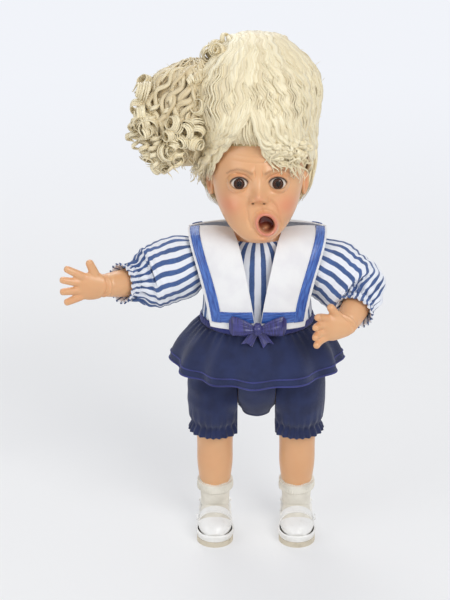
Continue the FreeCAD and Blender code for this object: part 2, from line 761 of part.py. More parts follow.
cap_room = head_skin(mm("soft_gap") * 2 + mm("cap_thick"))
ear_room = [
    ball(
        Vector(way * mm("head_wide") / 2, mm("ear_back"), mm("ear_height")),
        mm("ear_thick") * 2.6, mm("ear_deep") * 1.2, mm("ear_tall") * 1.12,
    )
    for way in (-1, 1)
]
keep_shape("wig_cap", build_cap(), HEAD)
neck_room = rod(
    mm("neck_radius") + mm("soft_gap"), Vector(0, 0, mm("neck_seat")), mm("neck_reach"), Vector(0, 0, 1)
)
neck_room.Placement = HEAD.inverse()
crown_room = build_crown(mm("soft_gap"))
back_room = build_back(mm("soft_gap"))
crown = build_crown().cut([cap_room] + ear_room)
back = build_back().cut([cap_room, crown_room, neck_room] + ear_room)
ringlets = build_ringlets().cut([cap_room, crown_room, back_room] + ear_room)
sweep = build_sweep().cut([cap_room, crown_room, back_room] + ear_room)
fringe = build_fringe().cut([cap_room, crown_room])
for label, shape in (
    ("hair_crown", crown), ("hair_back", back), ("hair_ringlets", ringlets), ("hair_side_sweep", sweep),
    ("hair_fringe", fringe),
):
    keep_shape(label, shape, HEAD)


# Torso: hollow moulding with round seats and holes for the head, the arms and the legs


TORSO_SHARES = (
    (0.0, 0.24, 0.36, 0.36),
    (0.045, 0.34, 0.54, 0.56),
    (0.14, 0.64, 0.76, 0.78),
    (0.286, 0.96, 0.94, 0.88),
    (0.44, 1.01, 1.01, 0.84),
    (0.60, 0.94, 0.94, 0.75),
    (0.76, 0.91, 0.82, 0.71),
    (0.888, 0.88, 0.66, 0.62),
    (0.955, 0.74, 0.54, 0.54),
    (1.0, 0.435, 0.47, 0.47),
)
LEG_SWING_BACK = 25.0


def torso_skin(grow):
    """Outer form of the torso, grown by that much all round."""
    low = mm("crotch_height")
    tall = mm("neck_seat") - low
    rings = []
    for level, wide, front, back in TORSO_SHARES:
        height = low + level * tall + grow * (2 * level - 1)
        half = wide * mm("torso_half_wide") + grow
        deep = mm("torso_half_deep")
        rings.append(oval(Vector(0, 0, height), half, half, front * deep + grow, back * deep + grow))
    return skin(rings)


def leg_room(way, grow):
    """Space that a thigh turns in, about its hip joint. grow widens it."""
    far = mm("head_wide")
    x = sorted((way * (mm("hip_seat") - grow), way * far))
    radius = mm("thigh_radius") + 2 * mm("soft_gap") + grow
    hip = mm("hip_height")
    turn = rod(radius, Vector(way * (mm("hip_seat") - grow), 0, hip), far, Vector(way, 0, 0))
    front = block(x, (-far, 0), (0, hip + radius))
    behind = block(x, (0, far), (0, hip + radius * math.sin(math.radians(LEG_SWING_BACK))))
    return turn.fuse([front, behind])


def arm_room(way, grow):
    """Round seat that an arm turns in. grow widens it."""
    start = Vector(way * (mm("shoulder_seat") - grow), 0, mm("shoulder_height"))
    return rod(mm("arm_radius") + 2 * mm("soft_gap") + grow, start, mm("head_wide"), Vector(way, 0, 0))


def build_torso():
    """Hollow torso with its five holes."""
    wall = mm("vinyl_wall")
    outer = torso_skin(0).cut([room(way, 0) for room in (leg_room, arm_room) for way in (-1, 1)])
    core = torso_skin(-wall).cut([room(way, wall) for room in (leg_room, arm_room) for way in (-1, 1)])
    torso = outer.cut(core)
    play = mm("running_gap")
    depth = 2 * mm("overrun") + wall
    for way in (-1, 1):
        inward = Vector(-way, 0, 0)
        shoulder = Vector(way * (mm("shoulder_seat") + mm("overrun")), 0, mm("shoulder_height"))
        hip = Vector(way * (mm("hip_seat") + mm("overrun")), 0, mm("hip_height"))
        torso = torso.cut([
            rod(mm("shoulder_shaft") + play, shoulder, depth, inward),
            rod(mm("hip_shaft") + play, hip, depth, inward),
        ])
    top = Vector(0, 0, mm("neck_seat") + mm("overrun"))
    return torso.cut(rod(mm("neck_shaft") + play, top, depth, Vector(0, 0, -1)))


keep_shape("torso", build_torso())


# Arms: one bent moulding each, with a hand of its own pose


ARM_ROUTES = {
    "right": ((-0.93, -0.12, -0.33), (-0.76, -0.63, 0.16), (-0.95, -0.29, 0.10)),
    "left": ((0.82, -0.26, -0.51), (-0.40, -0.87, -0.28), (-0.90, -0.42, 0.06)),
}
ARM_STATIONS = 25
ARM_RADIUS_SHARES = (0.93, 0.99, 1.00, 0.97, 0.92, 0.95, 0.93, 0.82, 0.71)
FINGER_TURNS = {"right": (24, 8, -8, -25), "left": (16, 5, -6, -17)}
FINGER_LENGTH_SHARES = (0.90, 1.0, 0.95, 0.78)
FINGER_SHARES = (0.96, 1.0, 0.95, 0.86)
PALM_SHARES = (
    (0.0, 0.70, 1.18), (0.30, 0.88, 1.14), (0.62, 1.06, 1.06), (0.90, 0.98, 0.88), (1.06, 0.60, 0.50),
)
FINGER_CURL = {"right": 12, "left": 62}
THUMB_TURN = {"right": 62, "left": 48}


def unit(row):
    """Direction of one row of a table."""
    return Vector(*row).normalize()


def arm_points(side):
    """Seat, shoulder, elbow, wrist and knuckles of an arm."""
    way = -1 if side == "right" else 1
    upper, fore, hand = (unit(row) for row in ARM_ROUTES[side])
    seat = Vector(way * (mm("shoulder_seat") + mm("running_gap")), 0, mm("shoulder_height"))
    shoulder = seat + Vector(way * mm("arm_radius") * 0.8, 0, 0)
    elbow = shoulder + upper * mm("upper_arm")
    wrist = elbow + fore * mm("forearm")
    return seat, shoulder, elbow, wrist, wrist + hand * mm("palm")


def arm_route(side):
    """Evenly spaced points from the seat of an arm to its wrist."""
    return spread(list(arm_points(side)[:4]), ARM_STATIONS)


def turned(direction, axis, degrees):
    """Direction turned about an axis."""
    return FreeCAD.Rotation(axis, degrees).multVec(direction)


def finger(root, way, bend, curl, length, radius):
    """One finger: two joints, bent about an axis, with a rounded tip."""
    middle = root + way * (length * 0.5)
    tip = middle + turned(way, bend, curl) * (length * 0.5 - radius)
    path = spread([root - way * radius, root, middle, tip], len(FINGER_SHARES))
    path, radii = round_tip(path, [radius * share for share in FINGER_SHARES])
    return limb(path, radii, radii, bend, count=6)


def build_hand(side):
    """Palm, four fingers and a thumb."""
    wrist, knuckles = arm_points(side)[3:]
    way = (knuckles - wrist).normalize()
    up = Vector(0, 0, 1)
    bend = way.cross(up).cross(way).normalize()
    normal = way.cross(bend).normalize()
    curl = FINGER_CURL[side] * (1 if side == "left" else -1)
    start = wrist - way * (mm("palm") * 0.3)
    places = [start + (knuckles - start) * along for along, wide, thick in PALM_SHARES]
    wide = [mm("palm_half_wide") * wide for along, wide, thick in PALM_SHARES]
    thick = [mm("palm_half_thick") * thick for along, wide, thick in PALM_SHARES]
    pieces = []
    for index, degrees in enumerate(FINGER_TURNS[side]):
        place = (1.5 - index) / 2
        root = knuckles + bend * (place * mm("palm_half_wide") * 0.92) - way * (mm("finger_radius") * 0.6)
        length = mm("finger_length") * FINGER_LENGTH_SHARES[index] + mm("finger_radius")
        spin = turned(way, normal, degrees)
        pieces.append(finger(root, spin, bend, curl, length, mm("finger_radius")))
    thumb_way = turned(way, normal, THUMB_TURN[side])
    root = wrist + way * (mm("palm") * 0.35) + bend * (mm("palm_half_wide") * 0.66)
    pieces.append(finger(root, thumb_way, bend, curl * 0.4, mm("finger_length"), mm("finger_radius") * 1.14))
    return limb(places, wide, thick, bend).fuse(pieces)


def build_arm(side):
    """Vinyl arm from its push-in joint to the fingertips."""
    way = -1 if side == "right" else 1
    route = arm_route(side)[::3]
    radii = [share * mm("arm_radius") for share in ARM_RADIUS_SHARES]
    arm = limb(route, radii, radii, Vector(0, 0, 1), first=Vector(way, 0, 0))
    seat = Vector(way * (mm("shoulder_seat") + mm("running_gap")), 0, mm("shoulder_height"))
    joint = plug(seat, Vector(-way, 0, 0), mm("shoulder_shaft"))
    return arm.fuse([build_hand(side), joint])


for side in ("right", "left"):
    keep_shape(f"{side}_arm", build_arm(side))


# Legs: thigh, calf and foot in one moulding each


LEG_SHARES = (
    (1.0, 0.96, 0.0), (0.84, 0.97, 0.0), (0.66, 0.92, 0.01), (0.48, 0.79, 0.02), (0.32, 0.85, -0.03),
    (0.16, 0.72, -0.03), (0.02, 0.60, 0.0), (-0.08, 0.60, 0.0),
)
FOOT_SHARES = (
    (0.0, 0.34, 0.40), (0.06, 0.72, 0.68), (0.28, 0.92, 0.86), (0.52, 0.97, 0.72), (0.78, 1.02, 0.54),
    (0.95, 0.76, 0.42), (1.0, 0.30, 0.20),
)


def leg_form(way, grow):
    """Leg below the hip with its foot, grown by that much."""
    tall = mm("hip_height") - mm("ankle_height")
    rings = []
    for level, swell, lean in LEG_SHARES:
        height = mm("ankle_height") + tall * level
        half = swell * mm("thigh_radius") + grow
        shin = lean * mm("thigh_centre")
        rings.append(
            oval(Vector(way * mm("thigh_centre"), shin, height), half, half, half * 1.02, half * 1.02)
        )
    foot_path = []
    wide = []
    thick = []
    for along, half, tall_half in FOOT_SHARES:
        place = mm("foot_heel") - along * mm("foot_length")
        floor = mm("sole_thick") + mm("shoe_wall") + mm("sock_thick")
        rise = tall_half * mm("foot_half_wide")
        foot_path.append(Vector(way * mm("thigh_centre"), place + grow * (1 - 2 * along), floor + rise))
        wide.append(half * mm("foot_half_wide") + grow)
        thick.append(rise + grow)
    foot = limb(foot_path, wide, thick, Vector(1, 0, 0))
    return skin(rings).fuse(foot)


def build_leg(way):
    """Vinyl leg from its push-in joint to the toes."""
    out = Vector(way, 0, 0)
    seat = Vector(way * (mm("hip_seat") + mm("running_gap")), 0, mm("hip_height"))
    thigh = Vector(way * mm("thigh_centre"), 0, mm("hip_height"))
    root = rod(mm("thigh_radius"), seat, (thigh - seat).Length, out)
    rims = sorted(root.Edges, key=lambda edge: abs(edge.CenterOfMass.x))
    root = root.makeFillet(mm("thigh_radius") * 0.2, rims[:1])
    dome = Part.makeSphere(mm("thigh_radius"), thigh)
    joint = plug(seat, -out, mm("hip_shaft"))
    return leg_form(way, 0).fuse([root, dome, joint])


left_leg = build_leg(1)
keep_shape("left_leg", left_leg)
keep_shape("right_leg", mirrored(left_leg))


# Dress: striped bodice and sleeves, gathered skirt, bloomers


FAR = mm("head_wide") * 2


def level_slice(low, high):
    """Slab between two heights, for cutting a layer of cloth to length."""
    return block((-FAR, FAR), (-FAR, FAR), (low, high))


def build_bodice():
    """Close-fitting bodice with its neck edge and armholes."""
    gap = mm("soft_gap")
    layer = torso_skin(gap + mm("cloth")).cut(torso_skin(gap))
    layer = layer.common(level_slice(mm("waist_height"), mm("neck_seat") - mm("neck_drop")))
    armhole = mm("arm_radius") + mm("cloth") + 3 * gap
    for way in (-1, 1):
        start = Vector(way * mm("neck_shaft"), 0, mm("shoulder_height"))
        layer = layer.cut(rod(armhole, start, FAR, Vector(way, 0, 0)))
    return layer


SLEEVE_SHARES = (0.0, 0.50, 0.90, 1.0, 1.0, 0.94, 0.84, 0.60, 0.10)
CUFF_ROOM_SHARE = 1.3
SLEEVE_FIRST = 4
SLEEVE_LAST = 18


def sleeve_route(side):
    """Points along the arm from the armhole to the cuff."""
    return spread(arm_route(side)[SLEEVE_FIRST:SLEEVE_LAST + 1], len(SLEEVE_SHARES))


def build_sleeve(side):
    """Puffed sleeve, gathered at the armhole and into the cuff."""
    route = sleeve_route(side)
    root = mm("sleeve_root")
    end = mm("cuff_radius")
    full = mm("sleeve_radius")
    radii = []
    for index, share in enumerate(SLEEVE_SHARES):
        base = root if index < len(SLEEVE_SHARES) / 2 else end
        radii.append(base + (full - base) * share)
    fold = mm("cloth") * 1.4
    up = Vector(0, 0, 1)
    outside = limb_rings(route, radii, radii, up, count=18, wave=fold, waves=6)
    inside = limb_rings(route, radii, radii, up, count=18, wave=fold, waves=6, grow=-mm("cloth"))
    before, last = route[-2:]
    way = (last - before).normalize()
    end_plane = last + way * (mm("soft_gap") / 3)
    cuff_room = rod(mm("cuff_radius") * CUFF_ROOM_SHARE, end_plane, mm("cuff_wide"), way)
    return sleeve(outside, inside).cut([torso_skin(2 * mm("soft_gap") + mm("cloth")), cuff_room])


def build_cuff(side):
    """Elastic cuff, drawn in just below the sleeve."""
    before, last = sleeve_route(side)[-2:]
    way = (last - before).normalize()
    start = last + way * mm("soft_gap")
    outside = rod(mm("cuff_radius"), start, mm("cuff_wide"), way)
    inside = rod(mm("arm_radius") * 0.98, start - way * mm("overrun"), mm("cuff_wide") * 2, way)
    return outside.cut(inside)


keep_shape("dress_bodice", build_bodice())
for side in ("right", "left"):
    keep_shape(f"{side}_sleeve", build_sleeve(side))
    keep_shape(f"{side}_cuff", build_cuff(side))


SKIRT_SHARES = (0.0, 0.20, 0.50, 0.82, 1.0)
SKIRT_FOLDS = 12


def waist_reach(grow):
    """Half width, front and back of the torso at the waist, grown by that much."""
    low = mm("crotch_height")
    level = (mm("waist_height") - low) / (mm("neck_seat") - low)
    for before, after in zip(TORSO_SHARES, TORSO_SHARES[1:]):
        if level <= after[0]:
            part = (level - before[0]) / (after[0] - before[0])
            wide, front, back = (a + (b - a) * part for a, b in zip(before[1:], after[1:]))
            break
    deep = mm("torso_half_deep")
    return wide * mm("torso_half_wide") + grow, front * deep + grow, back * deep + grow


def skirt_rings(grow, low, high):
    """Flared and folded rings of the skirt between its hem and the waist seam."""
    wide, front, back = waist_reach(4 * mm("soft_gap") + 2 * mm("cloth"))
    rings = []
    for share in SKIRT_SHARES:
        height = high + (low - high) * share
        flare = math.sin(share * math.pi / 2) ** 0.9
        x = wide + (mm("skirt_flare_x") - wide) * flare + grow
        f = front + (mm("skirt_flare_y") - front) * flare + grow
        b = back + (mm("skirt_flare_y") - back) * flare + grow
        rings.append(
            oval(Vector(0, 0, height), x, x, f, b, count=SKIRT_FOLDS * 3,
                 wave=mm("skirt_fold") * (0.15 + 0.85 * share), waves=SKIRT_FOLDS)
        )
    return rings


top_seam = mm("waist_height") - mm("soft_gap")
hem = mm("skirt_hem")
keep_shape("skirt", sleeve(skirt_rings(0, hem, top_seam), skirt_rings(-mm("cloth"), hem, top_seam)))

band_inside = 2 * mm("soft_gap") + mm("cloth")
waistband = torso_skin(band_inside + 1.5 * mm("cloth")).cut(torso_skin(band_inside))
waistband = waistband.common(level_slice(mm("waist_height"), mm("waist_height") + mm("waistband_wide")))
keep_shape("waistband", waistband)

gap = mm("soft_gap")
seat = torso_skin(gap + mm("cloth")).cut(torso_skin(gap))
seat_low = mm("hip_height") + mm("thigh_radius") + 5 * gap
keep_shape("bloomer_seat", seat.common(level_slice(seat_low, mm("waist_height") - gap)))

BLOOMER_SHARES = (0.35, 0.84, 1.0, 0.98, 0.70, 0.10)


def build_bloomer_leg(way):
    """Leg of the bloomers, full at the thigh and drawn in by elastic above the knee."""
    high = mm("hip_height") + mm("thigh_radius") * 0.36
    low = mm("bloomer_hem")
    snug = mm("thigh_radius") + 3 * mm("soft_gap") + mm("cloth")
    inner_reach = mm("thigh_centre") - mm("hip_seat") - 2 * mm("soft_gap")
    rings = []
    hollow = []
    last = len(BLOOMER_SHARES) - 1
    for index, share in enumerate(BLOOMER_SHARES):
        height = high + (low - high) * index / last
        reach = snug + (mm("bloomer_puff") - snug) * share
        inner = min(reach, inner_reach)
        centre = Vector(way * mm("thigh_centre"), 0, height)
        right, left = (reach, inner) if way > 0 else (inner, reach)
        rings.append(oval(centre, right, left, reach, reach, count=15, wave=mm("cloth") * 0.5, waves=5))
        thin = mm("cloth")
        hollow.append(
            oval(centre, right - thin, left - thin, reach - thin, reach - thin, count=15,
                 wave=mm("cloth") * 0.5, waves=5)
        )
    tube = sleeve(rings, hollow)
    near = Vector(0, 0, mm("hip_height"))
    room = rod(mm("thigh_radius") + mm("soft_gap"), near, mm("thigh_centre"), Vector(way, 0, 0))
    return tube.cut(room)


left_bloomer = build_bloomer_leg(1)
keep_shape("left_bloomer_leg", left_bloomer)
keep_shape("right_bloomer_leg", mirrored(left_bloomer))


# Sailor collar: two front panels and a square flap behind, with satin ribbon near the edges


FRONT_COLLAR_SHARES = (
    ((0.32, 0.10, 0.004), (0.52, 0.16, 0.000), (0.78, 0.20, 0.008), (1.00, 0.22, 0.034)),
    ((0.32, -0.34, 0.000), (0.52, -0.34, 0.004), (0.78, -0.26, 0.022), (0.985, -0.20, 0.056)),
    ((0.255, -0.70, 0.090), (0.47, -0.68, 0.110), (0.72, -0.60, 0.140), (0.93, -0.50, 0.175)),
    ((0.185, -0.90, 0.310), (0.40, -0.90, 0.340), (0.63, -0.82, 0.360), (0.84, -0.70, 0.390)),
    ((0.115, -1.01, 0.580), (0.32, -1.02, 0.590), (0.54, -0.96, 0.600), (0.76, -0.84, 0.620)),
    ((0.065, -1.06, 0.800), (0.27, -1.07, 0.800), (0.49, -1.02, 0.805), (0.71, -0.91, 0.810)),
    ((0.025, -1.09, 1.000), (0.22, -1.10, 0.990), (0.45, -1.05, 0.985), (0.67, -0.95, 0.975)),
)
BACK_COLLAR_SHARES = (
    ((-1.00, 0.30, 0.034), (-0.52, 0.46, 0.014), (0.00, 0.50, 0.022), (0.52, 0.46, 0.014),
     (1.00, 0.30, 0.034)),
    ((-0.98, 0.52, 0.090), (-0.50, 0.66, 0.060), (0.00, 0.70, 0.050), (0.50, 0.66, 0.060),
     (0.98, 0.52, 0.090)),
    ((-0.92, 0.70, 0.220), (-0.48, 0.80, 0.220), (0.00, 0.84, 0.220), (0.48, 0.80, 0.220),
     (0.92, 0.70, 0.220)),
    ((-0.84, 0.80, 0.450), (-0.46, 0.88, 0.450), (0.00, 0.91, 0.450), (0.46, 0.88, 0.450),
     (0.84, 0.80, 0.450)),
    ((-0.78, 0.86, 0.700), (-0.44, 0.94, 0.700), (0.00, 0.97, 0.700), (0.44, 0.94, 0.700),
     (0.78, 0.86, 0.700)),
)


def collar_surface(table, way):
    """Smooth surface of one part of the collar."""
    top = mm("neck_seat") + mm("collar_rise")
    grid = [
        [
            Vector(
                way * x * mm("collar_half_wide"),
                y * (mm("torso_half_deep") + mm("collar_lift")),
                top - z * (mm("collar_drop") + mm("collar_rise")),
            )
            for x, y, z in row
        ]
        for row in table
    ]
    surface = Part.BSplineSurface()
    surface.interpolate([list(column) for column in zip(*grid)])
    return surface


def collar_panel(surface, across, down, lift, thick):
    """Strip of a collar's surface between shares of its width and its length, on its outer side."""
    low_u, high_u, low_v, high_v = surface.bounds()
    u = [low_u + (high_u - low_u) * share for share in across]
    v = [low_v + (high_v - low_v) * share for share in down]
    inside = Vector(0, 0, mm("waist_height"))
    normal = surface.normal((u[0] + u[1]) / 2, (v[0] + v[1]) / 2)
    point = surface.value((u[0] + u[1]) / 2, (v[0] + v[1]) / 2)
    if normal.dot(point - inside) < 0:
        lift, thick = -lift, -thick
    return panel(surface, u, v, lift, thick)


side_length = mm("collar_drop")
inset = 0.07
MITRE_SHARE = 0.004
ribbon_share = mm("ribbon_wide") / (mm("collar_half_wide") * 0.72)
bottom_share = mm("ribbon_wide") / side_length
thick = mm("collar_thick")
for side, way in (("right", -1), ("left", 1)):
    surface = collar_surface(FRONT_COLLAR_SHARES, way)
    keep_shape(f"collar_{side}_front", collar_panel(surface, (0, 1), (0, 1), 0, thick))
    above = thick + mm("running_gap") / 2
    edge = 1 - inset
    down = collar_panel(surface, (edge - ribbon_share, edge), (0.02, edge), above, mm("ribbon_thick"))
    along = collar_panel(
        surface, (0.02, edge - ribbon_share - MITRE_SHARE), (edge - bottom_share, edge), above,
        mm("ribbon_thick"),
    )
    keep_shape(f"collar_{side}_ribbon", Part.makeCompound([down, along]))

back_surface = collar_surface(BACK_COLLAR_SHARES, 1)
keep_shape("collar_back", collar_panel(back_surface, (0, 1), (0, 1), 0, thick))
rims = []
above = thick + mm("running_gap") / 2
narrow = ribbon_share * 0.36
back_low = 1 - inset - bottom_share * 1.4
for low, high in ((inset / 2, inset / 2 + narrow), (1 - inset / 2 - narrow, 1 - inset / 2)):
    rims.append(
        collar_panel(back_surface, (low, high), (0.03, back_low - MITRE_SHARE), above, mm("ribbon_thick"))
    )
hem = collar_panel(
    back_surface, (inset / 2, 1 - inset / 2), (back_low, 1 - inset), above, mm("ribbon_thick")
)
keep_shape("collar_back_ribbon", Part.makeCompound([hem] + rims))


# Bow at the point of the collar: two loops, a knot and two tails


def bow_place():
    """Middle of the bow, on the point of the collar."""
    deep = mm("torso_half_deep") + mm("collar_lift")
    lift = 2 * mm("soft_gap") + mm("collar_thick") + mm("ribbon_thick") + mm("bow_thick")
    front = FRONT_COLLAR_SHARES[-1][0][1]
    return Vector(0, front * deep - lift, mm("neck_seat") - mm("collar_drop") + mm("knot_half_wide"))


LOOP_SHARES = (
    (0.0, 0.30, 0.50), (0.18, 0.52, 0.68), (0.58, 0.98, 1.0), (0.88, 1.0, 0.84), (1.0, 0.40, 0.24),
)
TAIL_SHARES = ((0.0, 0.30), (0.25, 0.42), (0.6, 0.55), (1.0, 0.70))


def build_loop(way):
    """One loop of the bow, puffed out from the knot."""
    middle = bow_place()
    start = mm("knot_half_wide") + mm("running_gap")
    reach = mm("bow_half_wide") - start
    path = []
    for along, high, deep in LOOP_SHARES:
        back = mm("bow_thick") * 0.5 * along * along
        path.append(middle + Vector(way * (start + reach * along), back, reach * 0.10 * along))
    high = [share * mm("bow_half_high") for along, share, deep in LOOP_SHARES]
    deep = [share * mm("bow_thick") for along, tall, share in LOOP_SHARES]
    return limb(path, high, deep, Vector(0, 0, 1))


def build_tail(way):
    """One tail of the bow, hanging from under the knot."""
    middle = bow_place()
    half = mm("ribbon_thick")
    drop = mm("knot_half_wide")
    start = middle + Vector(way * drop * 0.4, mm("bow_thick") - 2 * half, -drop)
    wires = []
    for along, wide in TAIL_SHARES:
        centre = start + Vector(way * mm("tail_length") * 0.55 * along, 0, -mm("tail_length") * 0.8 * along)
        reach = wide * mm("bow_half_high")
        slant = Vector(reach * 0.8, 0, reach * 0.3 * way)
        depth = Vector(0, half, 0)
        ends = (centre - slant, centre + slant)
        corners = [ends[0] - depth, ends[1] - depth, ends[1] + depth, ends[0] + depth]
        wires.append(Part.makePolygon(corners + corners[:1]))
    return Part.makeLoft(wires, True, False)


knot = doc.addObject("Part::Ellipsoid", "bow_knot")
knot.setExpression("Radius1", "Sizes.bow_thick * 1.1")
knot.setExpression("Radius2", "Sizes.knot_half_wide")
knot.setExpression("Radius3", "Sizes.knot_half_wide * 1.15")
knot.Angle1 = -90
knot.Angle2 = 90
keep(knot, "bow_knot", FreeCAD.Placement(bow_place(), FreeCAD.Rotation(Vector(0, 0, 1), 90)))
doc.recompute()
knot_room = knot.Shape.copy()
knot_room.translate(-STANCE.Base)
keep_shape("bow_right_loop", build_loop(-1).cut(knot_room))
keep_shape("bow_left_loop", build_loop(1).cut(knot_room))
tails = [build_tail(way).cut([knot_room, build_loop(way)]) for way in (-1, 1)]
keep_shape("bow_tails", Part.makeCompound([tails[0], tails[1].cut(tails[0])]))


# Snaps down the back of the bodice


def disc_button(label, place):
    """Low round button: a padded circle with a rounded edge."""
    body = doc.addObject("PartDesign::Body", label)
    sketch = body.newObject("Sketcher::SketchObject", f"{label}_outline")
    plane = [feature for feature in body.Origin.OriginFeatures if feature.Role == "XY_Plane"][0]
    sketch.AttachmentSupport = [(plane, "")]
    sketch.MapMode = "FlatFace"
    sketch.addGeometry(Part.Circle(Vector(0, 0, 0), Vector(0, 0, 1), mm("button_radius")), False)
    sketch.addConstraint(Sketcher.Constraint("Coincident", 0, 3, -1, 1))
    sketch.addConstraint(Sketcher.Constraint("Radius", 0, mm("button_radius")))
    sketch.setExpression("Constraints[1]", "Sizes.button_radius")
    pad = body.newObject("PartDesign::Pad", f"{label}_pad")
    pad.Profile = sketch
    pad.setExpression("Length", "Sizes.button_thick")
    doc.recompute()
    edge = max(
        range(len(pad.Shape.Edges)), key=lambda index: pad.Shape.Edges[index].CenterOfMass.z
    )
    round_off = body.newObject("PartDesign::Fillet", f"{label}_edge")
    round_off.Base = (pad, [f"Edge{edge + 1}"])
    round_off.setExpression("Radius", "Sizes.button_thick * 0.55")
    body.Tip = round_off
    return keep(body, label, place)


# Feet: socks, soles, shoes, straps and buttons


SHOE_SHARES = (
    (1.0, 0.0), (1.0, 1.0), (0.10, 1.0), (-0.15, 0.62), (-1.50, 0.56), (-1.86, 0.96), (-3.0, 0.96),
    (-3.0, 0.0),
)
STRAP_SHARE = -1.18


def foot_layer(way, low, high):
    """Layer over the leg and foot between two distances from the vinyl."""
    return leg_form(way, high).cut(leg_form(way, low))


def build_sock(way):
    """Ankle sock with a turned-down top."""
    gap = mm("running_gap") * 2
    sock = foot_layer(way, gap, gap + mm("sock_thick") * 0.7)
    top = mm("sock_top")
    sock = sock.common(level_slice(0, top))
    welt = foot_layer(way, gap, gap + mm("sock_thick") * 1.6).common(
        level_slice(top - mm("sock_thick") * 6, top)
    )
    return sock.fuse(welt)


def build_shoe(way):
    """Moulded bar shoe: closed toe and heel, low at the sides."""
    inner = mm("running_gap") * 4 + mm("sock_thick") * 0.7
    shell = foot_layer(way, inner, inner + mm("shoe_wall"))
    rise = mm("shoe_top")
    outline = [
        Vector(-FAR, y * mm("foot_heel") + (mm("shoe_wall") * 3 if y > 0.5 else 0), z * rise)
        for y, z in SHOE_SHARES
    ]
    mask = Part.Face(Part.makePolygon(outline + outline[:1])).extrude(Vector(2 * FAR, 0, 0))
    shell = shell.common(mask)
    return shell.common(level_slice(mm("sole_thick"), FAR))


def build_strap(way, shoe):
    """Bar over the instep, from one side of the shoe to the other."""
    inner = mm("running_gap") * 4 + mm("sock_thick") * 0.7
    band = foot_layer(way, inner, inner + mm("strap_thick"))
    middle = STRAP_SHARE * mm("foot_heel")
    half = mm("strap_wide") / 2
    slab = block((-FAR, FAR), (middle - half, middle + half), (mm("shoe_top") * 0.5, mm("shoe_top") * 1.3))
    return band.common(slab).cut(shoe)


def sole_outline(sketch):
    """Outline of a sole: round heel, rounder toe and straight sides."""
    heel = Vector(0, mm("sole_heel"), 0)
    toe = Vector(0, mm("sole_length") - mm("sole_toe"), 0)
    up = Vector(0, 0, 1)
    sketch.addGeometry(Part.ArcOfCircle(Part.Circle(heel, up, mm("sole_heel")), math.pi, 2 * math.pi), False)
    sketch.addGeometry(Part.ArcOfCircle(Part.Circle(toe, up, mm("sole_toe")), 0, math.pi), False)
    for way, arc_end, toe_end in ((1, 2, 1), (-1, 1, 2)):
        start = heel + Vector(way * mm("sole_heel"), 0, 0)
        end = toe + Vector(way * mm("sole_toe"), 0, 0)
        line = sketch.addGeometry(Part.LineSegment(start, end), False)
        sketch.addConstraint(Sketcher.Constraint("Coincident", line, 1, 0, arc_end))
        sketch.addConstraint(Sketcher.Constraint("Coincident", line, 2, 1, toe_end))
    for arc, radius in ((0, "sole_heel"), (1, "sole_toe")):
        sketch.addConstraint(Sketcher.Constraint("PointOnObject", arc, 3, -2))
        sketch.addConstraint(Sketcher.Constraint("Horizontal", arc, 1, arc, 3))
        sketch.addConstraint(Sketcher.Constraint("Horizontal", arc, 3, arc, 2))
        held = sketch.addConstraint(Sketcher.Constraint("Radius", arc, mm(radius)))
        sketch.setExpression(f"Constraints[{held}]", f"Sizes.{radius}")
    held = sketch.addConstraint(Sketcher.Constraint("DistanceY", -1, 1, 0, 3, mm("sole_heel")))
    sketch.setExpression(f"Constraints[{held}]", "Sizes.sole_heel")
    held = sketch.addConstraint(Sketcher.Constraint("DistanceY", -1, 1, 1, 3, toe.y))
    sketch.setExpression(f"Constraints[{held}]", "Sizes.sole_length - Sizes.sole_toe")


def build_sole(side, way):
    """Flat sole of a shoe, padded from its outline."""
    body = doc.addObject("PartDesign::Body", f"{side}_sole")
    sketch = body.newObject("Sketcher::SketchObject", f"{side}_sole_outline")
    plane = [feature for feature in body.Origin.OriginFeatures if feature.Role == "XY_Plane"][0]
    sketch.AttachmentSupport = [(plane, "")]
    sketch.MapMode = "FlatFace"
    sole_outline(sketch)
    pad = body.newObject("PartDesign::Pad", f"{side}_sole_pad")
    pad.Profile = sketch
    pad.setExpression("Length", "Sizes.sole_thick")
    body.Tip = pad
    heel = mm("foot_heel") + (mm("sole_length") - mm("foot_length")) / 2
    turn = FreeCAD.Rotation(Vector(0, 0, 1), 180)
    place = FreeCAD.Placement(Vector(way * mm("thigh_centre"), heel, 0), turn)
    keep(body, f"{side}_sole", place)


left_sock = build_sock(1)
left_shoe = build_shoe(1)
left_strap = build_strap(1, left_shoe)
for label, shape in (("sock", left_sock), ("shoe", left_shoe), ("strap", left_strap)):
    keep_shape(f"left_{label}", shape)
    keep_shape(f"right_{label}", mirrored(shape))
for side, way in (("right", -1), ("left", 1)):
    build_sole(side, way)
    out = mm("foot_half_wide") + mm("strap_thick") + mm("sock_thick") + mm("running_gap") * 5
    place = FreeCAD.Placement(
        Vector(way * (mm("thigh_centre") + out), STRAP_SHARE * mm("foot_heel"), mm("shoe_top") * 0.72),
        FreeCAD.Rotation(Vector(0, 1, 0), 90 * way),
    )
    disc_button(f"{side}_shoe_button", place)

snaps = []
for index in range(3):
    height = mm("neck_seat") - mm("neck_drop") - mm("snap_spacing") * (index + 0.6)
    snaps.append(rod(mm("button_radius"), Vector(0, 0, height), mm("torso_half_deep") * 2, Vector(0, 1, 0)))
near = mm("soft_gap") + mm("cloth") + mm("running_gap")
snap_layer = torso_skin(near + mm("button_thick")).cut(torso_skin(near))
keep_shape("dress_snaps", Part.makeCompound([snap_layer.common(snap) for snap in snaps]))


# Check every piece, then write it


doc.recompute()
faults = []
for item in doc.Objects:
    if "Invalid" in item.State or "Error" in item.State:
        faults.append(f"{item.Label}: {item.State}")
for piece in PIECES:
    if piece.Shape.isNull() or not piece.Shape.isValid() or not piece.Shape.Solids:
        faults.append(f"{piece.Label}: shape is null, open or not valid")
if faults:
    raise RuntimeError("; ".join(faults))

